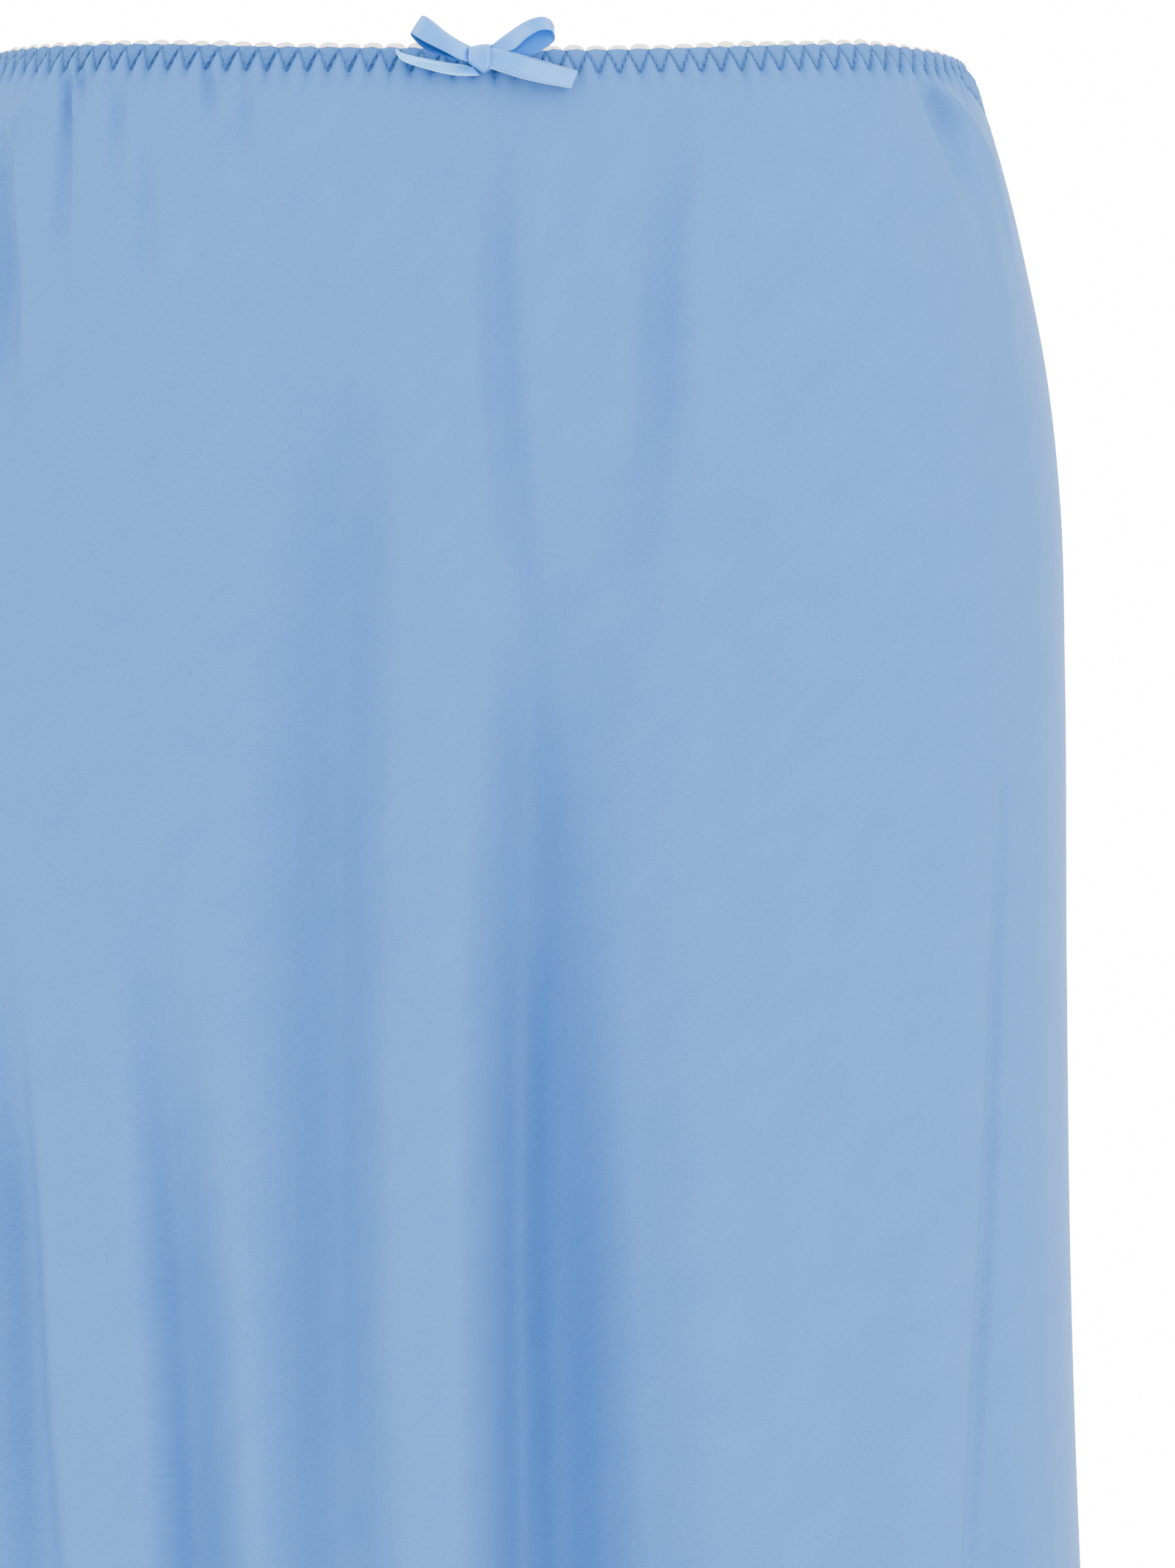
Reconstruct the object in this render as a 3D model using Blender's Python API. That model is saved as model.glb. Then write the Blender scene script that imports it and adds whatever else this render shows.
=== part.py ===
"""Bias-cut satin slip skirt with a picot-edged elastic waist and a small ribbon bow.

The skirt keeps the hollow form that it has on a wearer, with no wearer in it. Its waist
opening lies at the origin, the front faces -Y and the hem hangs down along -Z. The front and
the back are two walls of cloth that meet at the side seams. The elastic is a ring inside the
waist, and its picots stand above the cloth. The bow sits on the front.
"""

import math
from collections import namedtuple

import bmesh
import bpy
import numpy as np
from mathutils import Vector

CM = 0.01
MM = 0.001

# Cloth
SKIRT_LENGTH = 78.0 * CM
CLOTH_WALL = 1.2 * MM
PIECE_GAP = 0.3 * MM
HEM_DEPTH = 12.0 * MM
HEM_EXTRA = 0.4 * MM
SQUARENESS = 2.4

# Waist stitching
PUCKERS_PER_PANEL = 68
FINE_PER_PUCKER = 2
FINE_PER_COARSE = 2

# Elastic
ELASTIC_DROP = 10.0 * MM
ELASTIC_WALL = 1.2 * MM
PICOT_HEIGHT = 1.8 * MM
PICOT_NOTCH = 0.15 * MM
PICOT_COUNT = 124

# Ribbon
BOW_X = 1.1 * MM
RIBBON_WALL = 1.0 * MM
RIBBON_STEPS = 3

# Sections of the worn skirt, in centimetres: how far below the waist, half the width from
# side to side, and how far the front and the back stand from the middle.
Section = namedtuple("Section", "drop half_width front back")
SECTIONS = (
    Section(0.0, 14.35, 10.0, 9.6),
    Section(0.5, 14.58, 10.12, 9.75),
    Section(1.2, 14.84, 10.27, 9.95),
    Section(2.2, 15.16, 10.45, 10.2),
    Section(3.9, 15.63, 10.75, 10.65),
    Section(5.7, 16.04, 11.0, 11.2),
    Section(9.1, 16.69, 11.4, 12.3),
    Section(12.5, 17.05, 11.7, 13.1),
    Section(17.7, 17.20, 11.9, 13.7),
    Section(26.0, 17.25, 12.0, 13.8),
    Section(36.6, 17.40, 12.1, 13.4),
    Section(45.0, 17.70, 12.3, 13.3),
    Section(60.0, 18.60, 13.0, 13.7),
    Section(78.0, 19.90, 13.9, 14.6),
)

# Height of the waist edge over its level, in millimetres, by the turn in degrees from the
# front centre. The back is level.
EdgeRise = namedtuple("EdgeRise", "turn rise")
EDGE_RISE = (
    EdgeRise(-180.0, 0.0),
    EdgeRise(-110.0, 0.6),
    EdgeRise(-78.0, 2.2),
    EdgeRise(-55.0, 1.8),
    EdgeRise(-30.0, 0.4),
    EdgeRise(0.0, -0.3),
    EdgeRise(15.0, -0.6),
    EdgeRise(30.0, 0.4),
    EdgeRise(52.0, 2.0),
    EdgeRise(66.0, 2.1),
    EdgeRise(90.0, 0.6),
    EdgeRise(180.0, 0.0),
)
EDGE_RISE_FADE = 30.0 * MM

# Folds, in centimetres. Each row gives the place of a fold's line at one height: how far it
# is below the waist, its X, the widths of its left and right flanks, and its depth. A
# negative depth is a ridge. Left and right are as seen from outside the front, along +Y.
FoldRow = namedtuple("FoldRow", "drop x left right depth")
FRONT_FOLDS = {
    "centre valley": (
        FoldRow(14.0, 2.6, 1.6, 2.2, 0.0),
        FoldRow(19.5, 1.9, 2.0, 2.8, 1.4),
        FoldRow(28.0, 1.5, 2.0, 3.1, 2.7),
        FoldRow(36.0, 1.5, 2.0, 3.4, 3.3),
        FoldRow(45.0, 1.7, 2.1, 3.6, 3.4),
        FoldRow(78.0, 2.2, 2.8, 4.4, 4.0),
    ),
    "centre valley shoulder": (
        FoldRow(17.0, 4.4, 1.6, 2.0, 0.0),
        FoldRow(24.0, 4.1, 1.8, 2.4, 0.6),
        FoldRow(32.0, 4.0, 2.0, 2.8, 1.1),
        FoldRow(45.0, 4.3, 2.0, 3.0, 1.4),
        FoldRow(78.0, 5.3, 2.4, 3.4, 1.7),
    ),
    "centre ridge": (
        FoldRow(3.0, -1.4, 1.8, 1.6, 0.0),
        FoldRow(10.0, -1.2, 1.8, 1.6, -0.25),
        FoldRow(28.0, -1.2, 2.0, 1.8, -0.5),
        FoldRow(45.0, -1.0, 2.2, 2.0, -0.6),
        FoldRow(78.0, -0.8, 2.6, 2.4, -0.8),
    ),
    "left drag trough": (
        FoldRow(1.4, 0.5, 0.9, 0.9, 0.0),
        FoldRow(4.5, 0.62, 0.9, 0.9, 0.28),
        FoldRow(13.0, 1.0, 1.0, 1.0, 0.36),
        FoldRow(19.0, 1.3, 1.2, 1.2, 0.2),
        FoldRow(24.0, 1.5, 1.4, 1.4, 0.0),
    ),
    "right drag trough": (
        FoldRow(1.4, 5.9, 1.1, 1.0, 0.0),
        FoldRow(4.9, 5.35, 1.1, 1.0, 0.34),
        FoldRow(10.0, 5.2, 1.2, 1.1, 0.42),
        FoldRow(17.4, 3.9, 1.6, 1.4, 0.34),
        FoldRow(22.0, 3.2, 1.8, 1.6, 0.0),
    ),
    "left soft trough": (
        FoldRow(8.5, -3.9, 2.4, 1.8, 0.0),
        FoldRow(13.2, -3.8, 2.8, 1.8, 0.9),
        FoldRow(19.5, -4.0, 3.0, 1.9, 1.3),
        FoldRow(28.0, -4.1, 3.0, 1.9, 1.6),
        FoldRow(36.0, -4.1, 2.8, 2.0, 1.8),
        FoldRow(45.0, -3.9, 2.8, 2.2, 2.0),
        FoldRow(78.0, -3.6, 3.2, 2.8, 2.8),
    ),
    "left valley": (
        FoldRow(23.0, -9.3, 1.1, 1.8, 0.0),
        FoldRow(28.0, -9.0, 1.2, 2.0, 0.6),
        FoldRow(36.0, -8.5, 1.2, 2.4, 1.6),
        FoldRow(45.0, -8.1, 1.2, 2.6, 2.1),
        FoldRow(78.0, -7.9, 2.0, 3.4, 3.0),
    ),
    "far left valley": (
        FoldRow(24.0, -13.6, 1.3, 1.3, 0.0),
        FoldRow(28.0, -13.5, 1.4, 1.4, 0.5),
        FoldRow(33.0, -13.3, 1.5, 1.5, 1.1),
        FoldRow(38.0, -13.1, 1.6, 1.6, 1.2),
        FoldRow(45.0, -12.6, 1.8, 1.8, 1.1),
        FoldRow(78.0, -13.2, 2.8, 2.8, 2.2),
    ),
    "right faint trough": (
        FoldRow(20.0, 11.9, 2.2, 2.0, 0.0),
        FoldRow(32.0, 11.7, 2.4, 2.2, 0.25),
        FoldRow(45.0, 9.8, 2.8, 2.6, 0.5),
        FoldRow(60.0, 9.4, 3.2, 3.0, 1.6),
        FoldRow(78.0, 9.4, 3.6, 3.4, 2.6),
    ),
    "right side valley": (
        FoldRow(24.0, 15.3, 1.5, 1.5, 0.0),
        FoldRow(40.0, 14.8, 1.6, 1.6, 0.35),
        FoldRow(60.0, 15.2, 2.2, 2.2, 1.1),
        FoldRow(78.0, 15.8, 2.8, 2.8, 2.0),
    ),
    "right seam valley": (
        FoldRow(44.0, 17.5, 1.6, 1.8, 0.0),
        FoldRow(60.0, 18.4, 2.2, 2.4, 0.7),
        FoldRow(78.0, 19.7, 2.8, 3.0, 1.5),
    ),
    "left seam valley": (
        FoldRow(40.0, -17.3, 1.8, 1.6, 0.0),
        FoldRow(60.0, -18.5, 2.4, 2.2, 0.8),
        FoldRow(78.0, -19.8, 3.0, 2.6, 1.7),
    ),
}
BACK_FOLDS = {
    "back valley far left": (
        FoldRow(30.0, -14.6, 1.8, 2.0, 0.0),
        FoldRow(46.0, -14.2, 2.2, 2.4, 0.9),
        FoldRow(78.0, -14.6, 2.8, 3.0, 2.3),
    ),
    "back valley left": (
        FoldRow(22.0, -8.4, 2.0, 1.8, 0.0),
        FoldRow(36.0, -8.0, 2.8, 2.2, 1.2),
        FoldRow(78.0, -8.6, 3.8, 3.0, 2.9),
    ),
    "back valley centre": (
        FoldRow(18.0, -1.0, 2.0, 2.2, 0.0),
        FoldRow(30.0, -1.4, 2.8, 3.0, 1.3),
        FoldRow(48.0, -1.8, 3.4, 3.6, 2.3),
        FoldRow(78.0, -2.0, 4.0, 4.2, 3.1),
    ),
    "back drag trough": (
        FoldRow(2.0, 3.0, 1.5, 1.5, 0.0),
        FoldRow(8.0, 2.6, 1.5, 1.5, 0.25),
        FoldRow(18.0, 1.4, 1.8, 1.8, 0.3),
        FoldRow(28.0, 0.6, 1.8, 1.8, 0.0),
    ),
    "back valley right": (
        FoldRow(26.0, 5.0, 2.0, 2.2, 0.0),
        FoldRow(42.0, 5.2, 2.6, 2.8, 1.1),
        FoldRow(78.0, 5.6, 3.2, 3.4, 2.5),
    ),
    "back valley far right": (
        FoldRow(24.0, 11.6, 2.0, 1.8, 0.0),
        FoldRow(40.0, 11.8, 2.6, 2.2, 1.3),
        FoldRow(78.0, 12.6, 3.4, 3.0, 2.7),
    ),
    "back side valley left": (
        FoldRow(46.0, -17.0, 1.8, 1.8, 0.0),
        FoldRow(60.0, -17.8, 2.2, 2.4, 0.6),
        FoldRow(78.0, -18.8, 2.6, 3.0, 1.3),
    ),
    "back side valley right": (
        FoldRow(38.0, 16.4, 1.8, 1.6, 0.0),
        FoldRow(54.0, 17.0, 2.6, 2.0, 0.8),
        FoldRow(78.0, 18.3, 3.2, 2.4, 1.8),
    ),
}

# Rows of the cloth's wall, in millimetres below the waist edge. Fine rows carry the puckers
# of the waist stitching, with the height of each pucker.
FineRow = namedtuple("FineRow", "drop pucker")
FINE_ROWS = (
    FineRow(0.0, 0.1),
    FineRow(1.5, 0.4),
    FineRow(7.5, 0.6),
    FineRow(14.0, 0.3),
)
COARSE_DROPS = (
    24.0, 48.0, 85.0, 130.0, 175.0, 220.0, 265.0, 315.0, 365.0, 420.0, 480.0, 540.0, 605.0, 680.0,
)

# Ribbon stations, in centimetres. Each row gives both edges of the ribbon: X, Z and how far
# they stand out from the cloth's front.
Station = namedtuple("Station", "upper_x upper_z upper_out lower_x lower_z lower_out")
LEFT_LOOP = (
    Station(-0.28, 0.00, 0.42, -0.28, -0.44, 0.42),
    Station(-0.87, 0.38, 0.58, -0.87, -0.18, 0.60),
    Station(-1.30, 0.72, 0.62, -1.45, 0.12, 0.66),
    Station(-1.56, 0.86, 0.44, -1.86, 0.36, 0.46),
    Station(-1.34, 0.66, 0.30, -1.62, 0.06, 0.30),
    Station(-0.88, 0.30, 0.28, -1.00, -0.26, 0.28),
    Station(-0.28, 0.00, 0.28, -0.28, -0.44, 0.28),
)
RIGHT_LOOP = (
    Station(0.43, 0.00, 0.32, 0.43, -0.28, 0.32),
    Station(0.93, 0.40, 0.37, 0.99, -0.08, 0.37),
    Station(1.39, 0.70, 0.58, 1.42, 0.22, 0.64),
    Station(1.80, 0.81, 0.60, 1.80, 0.42, 0.68),
    Station(2.08, 0.70, 0.46, 2.16, 0.34, 0.52),
    Station(2.00, 0.55, 0.26, 2.08, 0.02, 0.28),
    Station(1.60, 0.50, 0.19, 1.64, -0.20, 0.19),
    Station(1.10, 0.24, 0.19, 1.14, -0.25, 0.19),
    Station(0.43, 0.00, 0.19, 0.43, -0.28, 0.19),
)
LEFT_TAIL = (
    Station(-0.28, -0.51, 0.15, -0.08, -0.81, 0.17),
    Station(-0.87, -0.37, 0.14, -0.87, -0.77, 0.27),
    Station(-1.60, -0.26, 0.14, -1.53, -0.62, 0.33),
    Station(-2.10, -0.15, 0.17, -2.10, -0.40, 0.30),
    Station(-2.29, -0.05, 0.20, -2.31, -0.13, 0.24),
)
RIGHT_TAIL = (
    Station(0.43, -0.08, 0.50, 0.41, -0.63, 0.54),
    Station(1.25, -0.28, 0.48, 1.10, -0.88, 0.58),
    Station(2.05, -0.49, 0.32, 1.88, -1.08, 0.46),
    Station(2.86, -0.71, 0.18, 2.67, -1.19, 0.30),
)

# Knot, in centimetres: its outline on the front, and its layers with their size against that
# outline.
KnotCorner = namedtuple("KnotCorner", "x z")
KNOT_OUTLINE = (
    KnotCorner(-0.23, -0.05),
    KnotCorner(0.05, 0.01),
    KnotCorner(0.36, -0.02),
    KnotCorner(0.39, -0.32),
    KnotCorner(0.35, -0.63),
    KnotCorner(0.19, -0.74),
    KnotCorner(-0.02, -0.64),
    KnotCorner(-0.23, -0.47),
)
KnotLayer = namedtuple("KnotLayer", "out size")
KNOT_LAYERS = (
    KnotLayer(0.10, 0.86),
    KnotLayer(0.20, 1.0),
    KnotLayer(0.42, 1.0),
    KnotLayer(0.52, 0.86),
    KnotLayer(0.56, 0.6),
)

SATIN_BLUE = (0.26, 0.41, 0.63)
RIBBON_BLUE = (0.36, 0.55, 0.83)
PICOT_CREAM = (0.86, 0.85, 0.80)


def clear_scene():
    for item in list(bpy.data.objects):
        bpy.data.objects.remove(item, do_unlink=True)


def make_material(name, colour, roughness):
    material = bpy.data.materials.new(name)
    material.use_nodes = True
    shader = material.node_tree.nodes["Principled BSDF"]
    shader.inputs["Base Color"].default_value = (*colour, 1.0)
    shader.inputs["Roughness"].default_value = roughness
    shader.inputs["Metallic"].default_value = 0.0
    return material


def read_curve(where, places, values):
    """Values at the places asked for, on a smooth curve through a table, straight past it."""
    where = np.asarray(where, float)
    places = np.asarray(places, float)
    values = np.asarray(values, float)
    slopes = np.gradient(values, places)
    cell = np.clip(np.searchsorted(places, where) - 1, 0, len(places) - 2)
    span = places[cell + 1] - places[cell]
    part = np.clip((where - places[cell]) / span, 0.0, 1.0)
    start = values[cell] + slopes[cell] * span * part * (1 - part) ** 2
    end = slopes[cell + 1] * span * part ** 2 * (1 - part)
    ease = part ** 2 * (3 - 2 * part)
    inside = start + (values[cell + 1] - values[cell]) * ease - end
    before = np.minimum(where - places[0], 0.0) * slopes[0]
    after = np.maximum(where - places[-1], 0.0) * slopes[-1]
    return inside + before + after


def column(table, name):
    return [getattr(row, name) for row in table]


def section_sizes(drop):
    """Half width, front depth and back depth at a drop, all in metres."""
    drops = np.array(column(SECTIONS, "drop")) * CM
    return [
        read_curve(drop, drops, np.array(column(SECTIONS, name)) * CM)
        for name in ("half_width", "front", "back")
    ]


def section_point(turn, drop):
    """Base section's X and Y with its outward normal, before any fold."""
    half_width, front, back = section_sizes(drop)
    depth = np.where(np.cos(turn) > 0, front, back)
    across = np.abs(np.sin(turn) / half_width) ** SQUARENESS
    along = np.abs(np.cos(turn) / depth) ** SQUARENESS
    radius = (across + along) ** (-1 / SQUARENESS)
    x = radius * np.sin(turn)
    y = -radius * np.cos(turn)
    out_x = np.sign(x) * np.abs(x) ** (SQUARENESS - 1) / half_width ** SQUARENESS
    out_y = np.sign(y) * np.abs(y) ** (SQUARENESS - 1) / depth ** SQUARENESS
    length = np.hypot(out_x, out_y)
    return x, y, out_x / length, out_y / length


def fold_depth(rows, facing, x, y, drop):
    """How far one fold draws the cloth in. Facing is -1 for the front and 1 for the back."""
    drops = np.array(column(rows, "drop")) * CM
    held = np.clip(drop, drops[0], drops[-1])
    fold_x, left, right, depth = [
        read_curve(held, drops, np.array(column(rows, name)) * CM)
        for name in ("x", "left", "right", "depth")
    ]
    half_width, front, back = section_sizes(drop)
    reach = front if facing < 0 else back
    rest = np.clip(1 - np.abs(fold_x / half_width) ** SQUARENESS, 0.0, 1.0)
    fold_y = facing * reach * rest ** (1 / SQUARENESS)
    side = np.sign(np.arctan2(x, -facing * -y) - np.arctan2(fold_x, -facing * -fold_y))
    distance = np.hypot(x - fold_x, y - fold_y)
    width = np.where(side < 0, left, right)
    share = np.clip(distance / width, 0.0, 1.0)
    return depth * (0.5 + 0.5 * np.cos(math.pi * share))


def cloth_surface(turn, drop):
    """Outer face of the cloth, without its puckers, as an array of points."""
    turn, drop = np.broadcast_arrays(np.asarray(turn, float), np.asarray(drop, float))
    x, y, out_x, out_y = section_point(turn, drop)
    sunk = np.zeros_like(x)
    for rows in FRONT_FOLDS.values():
        sunk = sunk + fold_depth(rows, -1, x, y, drop)
    for rows in BACK_FOLDS.values():
        sunk = sunk + fold_depth(rows, 1, x, y, drop)
    degrees = np.degrees(turn + math.pi) % 360.0 - 180.0
    rises = np.array(column(EDGE_RISE, "rise")) * MM
    rise = read_curve(degrees, column(EDGE_RISE, "turn"), rises)
    fade = np.clip(1 - drop / EDGE_RISE_FADE, 0.0, 1.0)
    return np.stack((x - sunk * out_x, y - sunk * out_y, rise * fade - drop), axis=-1)


def cloth_normal(turn, drop):
    """Outward normal of the cloth's outer face, from its slopes."""
    step = 1e-4
    around = cloth_surface(turn + step, drop) - cloth_surface(turn - step, drop)
    down = cloth_surface(turn, drop + step) - cloth_surface(turn, drop - step)
    normal = np.cross(down, around)
    return normal / np.linalg.norm(normal, axis=-1, keepdims=True)


def cloth_offset(turn, drop, out):
    """Points at a distance outside the cloth's outer face. A negative one is inside it."""
    return cloth_surface(turn, drop) + cloth_normal(turn, drop) * np.expand_dims(out, -1)


def even_turns(count, first, last):
    """Turns that part the waist edge into equal lengths, from the first turn to the last."""
    fine = np.linspace(first, last, 2001)
    x, y, _, _ = section_point(fine, np.zeros_like(fine))
    lengths = np.concatenate(([0.0], np.cumsum(np.hypot(np.diff(x), np.diff(y)))))
    return np.interp(np.linspace(0.0, lengths[-1], count + 1), lengths, fine)


def add_strip(bm, upper, lower, flip, guide=None):
    """Triangles between two rows. The upper row may have two or three steps for a lower one.

    Each four-cornered step is parted along its shorter diagonal, measured on the guide rows,
    so that both faces of the wall bend along the same lines and never cross.
    """
    guide_upper, guide_lower = guide or (upper, lower)
    ratio = (len(upper) - 1) // (len(lower) - 1)
    for index in range(len(lower) - 1):
        near = lower[index]
        far = lower[index + 1]
        tops = upper[index * ratio:index * ratio + ratio + 1]
        first = len(tops) // 2 - 1
        left, right = tops[first], tops[first + 1]
        above = index * ratio + first
        falling = (guide_upper[above].co - guide_lower[index + 1].co).length
        rising = (guide_upper[above + 1].co - guide_lower[index].co).length
        if falling < rising:
            corners = [(left, near, far), (left, far, right)]
        else:
            corners = [(left, near, right), (near, far, right)]
        if ratio == 2:
            corners = [(tops[0], near, tops[1]), (tops[1], near, far), (tops[1], far, tops[2])]
        if ratio == 3:
            corners += [(tops[0], near, tops[1]), (tops[2], far, tops[3])]
        for face in corners:
            bm.faces.new(face[::-1] if flip else face)


def add_wall(bm, outer_rows, inner_rows):
    """Closed wall of cloth between matching rows of outer and inner points, top row first."""
    outer = [[bm.verts.new(point) for point in row] for row in outer_rows]
    inner = [[bm.verts.new(point) for point in row] for row in inner_rows]
    for row in range(len(outer) - 1):
        add_strip(bm, outer[row], outer[row + 1], flip=False)
        add_strip(bm, inner[row], inner[row + 1], flip=True, guide=(outer[row], outer[row + 1]))
    add_strip(bm, inner[0], outer[0], flip=False)
    add_strip(bm, outer[-1], inner[-1], flip=False)
    for end, flip in ((0, True), (-1, False)):
        outer_edge = [row[end] for row in outer]
        inner_edge = [row[end] for row in inner]
        add_strip(bm, outer_edge, inner_edge, flip=not flip)


def add_object(name, bm, material, sharp=50.0):
    bmesh.ops.recalc_face_normals(bm, faces=bm.faces)
    mesh = bpy.data.meshes.new(name)
    bm.to_mesh(mesh)
    bm.free()
    mesh.materials.append(material)
    mesh.shade_smooth()
    mesh.set_sharp_from_angle(angle=math.radians(sharp))
    item = bpy.data.objects.new(name, mesh)
    bpy.context.collection.objects.link(item)
    return item


def panel_turns(middle, count, drop):
    """Turns of one row of a panel, short of both side seams by half of the gap."""
    quarter = math.pi / 2
    turns = even_turns(count, middle - quarter, middle + quarter)
    half_width = float(section_sizes(drop)[0])
    seam = PIECE_GAP / 2 / half_width
    return middle + (turns - middle) * (1 - seam / quarter)


def make_panel(name, middle, material):
    """Front or back panel: fine puckered rows at the waist and coarse rows down to the hem."""
    fine_count = PUCKERS_PER_PANEL * FINE_PER_PUCKER
    coarse_count = fine_count // FINE_PER_COARSE
    hem_top = SKIRT_LENGTH - HEM_DEPTH
    rows = [(row.drop * MM, fine_count, row.pucker * MM) for row in FINE_ROWS]
    rows += [(drop * MM, coarse_count, 0.0) for drop in COARSE_DROPS]
    rows += [
        (hem_top - 2 * MM, coarse_count, 0.0),
        (hem_top, coarse_count, HEM_EXTRA),
        (SKIRT_LENGTH, coarse_count, HEM_EXTRA),
    ]
    outer_rows = []
    inner_rows = []
    for drop, count, raised in rows:
        turns = panel_turns(middle, count, drop)
        out = np.full(count + 1, raised)
        if count == fine_count:
            out = raised * (np.arange(count + 1) % FINE_PER_PUCKER)
        drops = np.full(count + 1, drop)
        outer_rows.append(cloth_offset(turns, drops, out))
        inner_rows.append(cloth_offset(turns, drops, np.full(count + 1, -CLOTH_WALL)))
    bm = bmesh.new()
    add_wall(bm, outer_rows, inner_rows)
    return add_object(name, bm, material)


def make_elastic(material):
    """Elastic ring inside the waist, with a scalloped upper edge of picots."""
    steps = 3
    turns = even_turns(PICOT_COUNT * steps, -math.pi, math.pi)[:-1]
    rises = np.where(np.arange(len(turns)) % steps == 0, PICOT_NOTCH, PICOT_HEIGHT)
    outer_out = -CLOTH_WALL - PIECE_GAP
    bm = bmesh.new()
    rings = []
    for out in (outer_out, outer_out - ELASTIC_WALL):
        top = cloth_offset(turns, -rises, np.full(len(turns), out))
        foot_turns = turns[::steps]
        foot_drops = np.full(len(foot_turns), ELASTIC_DROP)
        foot = cloth_offset(foot_turns, foot_drops, np.full(len(foot_turns), out))
        rings.append([[bm.verts.new(point) for point in row] for row in (top, foot)])
    for top, foot in rings:
        add_strip(bm, top + top[:1], foot + foot[:1], flip=False)
    for outer_row, inner_row in zip(*rings):
        add_strip(bm, outer_row + outer_row[:1], inner_row + inner_row[:1], flip=False)
    return add_object("waist_elastic", bm, material)


def cloth_front(x, z):
    """Y of the cloth's outer face on the front, at an X and a Z near the bow."""
    drop = max(-z, 0.0)
    half_width, front, _ = section_sizes(drop)
    rest = 1 - abs(x / half_width) ** SQUARENESS
    return float(-front * rest ** (1 / SQUARENESS))


def bow_point(x, z, out):
    """Point of the bow from centimetres: X, Z and its distance in front of the cloth."""
    x = BOW_X + x * CM
    z = z * CM
    return Vector((x, cloth_front(x, z) - out * CM, z))


def make_ribbon(name, stations, material):
    """Ribbon swept through its stations, with a rectangular section."""
    places = np.arange(len(stations))
    fine = np.linspace(0, len(stations) - 1, (len(stations) - 1) * RIBBON_STEPS + 1)
    upper = np.array([bow_point(s.upper_x, s.upper_z, s.upper_out) for s in stations])
    lower = np.array([bow_point(s.lower_x, s.lower_z, s.lower_out) for s in stations])
    upper = np.stack([read_curve(fine, places, upper[:, axis]) for axis in range(3)], axis=1)
    lower = np.stack([read_curve(fine, places, lower[:, axis]) for axis in range(3)], axis=1)
    along = np.gradient((upper + lower) / 2, axis=0)
    across = upper - lower
    face = np.cross(across, along)
    face = face / np.linalg.norm(face, axis=1, keepdims=True) * RIBBON_WALL / 2
    bm = bmesh.new()
    rings = []
    for high, low, half in zip(upper, lower, face):
        corners = (high + half, low + half, low - half, high - half)
        rings.append([bm.verts.new(point) for point in corners])
    for ring, following in zip(rings, rings[1:]):
        add_strip(bm, ring + ring[:1], following + following[:1], flip=False)
    bm.faces.new(rings[0])
    bm.faces.new(rings[-1][::-1])
    return add_object(name, bm, material)


def make_knot(material):
    """Rounded knot, as layers of one outline from the cloth outwards."""
    middle_x = sum(column(KNOT_OUTLINE, "x")) / len(KNOT_OUTLINE)
    middle_z = sum(column(KNOT_OUTLINE, "z")) / len(KNOT_OUTLINE)
    bm = bmesh.new()
    rings = []
    for layer in KNOT_LAYERS:
        ring = []
        for corner in KNOT_OUTLINE:
            x = middle_x + (corner.x - middle_x) * layer.size
            z = middle_z + (corner.z - middle_z) * layer.size
            ring.append(bm.verts.new(bow_point(x, z, layer.out)))
        rings.append(ring)
    for ring, following in zip(rings, rings[1:]):
        add_strip(bm, ring + ring[:1], following + following[:1], flip=False)
    bm.faces.new(rings[0])
    bm.faces.new(rings[-1][::-1])
    return add_object("bow_knot", bm, material)


def main():
    clear_scene()
    satin = make_material("light_blue_satin", SATIN_BLUE, 0.42)
    ribbon = make_material("ribbon_satin", RIBBON_BLUE, 0.35)
    picot = make_material("picot_elastic", PICOT_CREAM, 0.8)
    make_panel("front_panel", 0.0, satin)
    make_panel("back_panel", math.pi, satin)
    make_elastic(picot)
    make_ribbon("bow_loop_left", LEFT_LOOP, ribbon)
    make_ribbon("bow_loop_right", RIGHT_LOOP, ribbon)
    make_ribbon("bow_tail_left", LEFT_TAIL, ribbon)
    make_ribbon("bow_tail_right", RIGHT_TAIL, ribbon)
    make_knot(ribbon)


main()
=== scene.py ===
# %% [markdown]
# A satin slip skirt, one sewn piece at a time
#
# The skirt is light-blue satin, cut on the bias, with an elastic waist whose picots stand
# above the cloth, and a small ribbon bow. It hangs as on a wearer, with no wearer in it. Each
# lesson makes one sewn piece or one finish, and the skirt's solids come in as a fixed frame.

# %% The frame
import math
from collections import namedtuple

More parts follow.
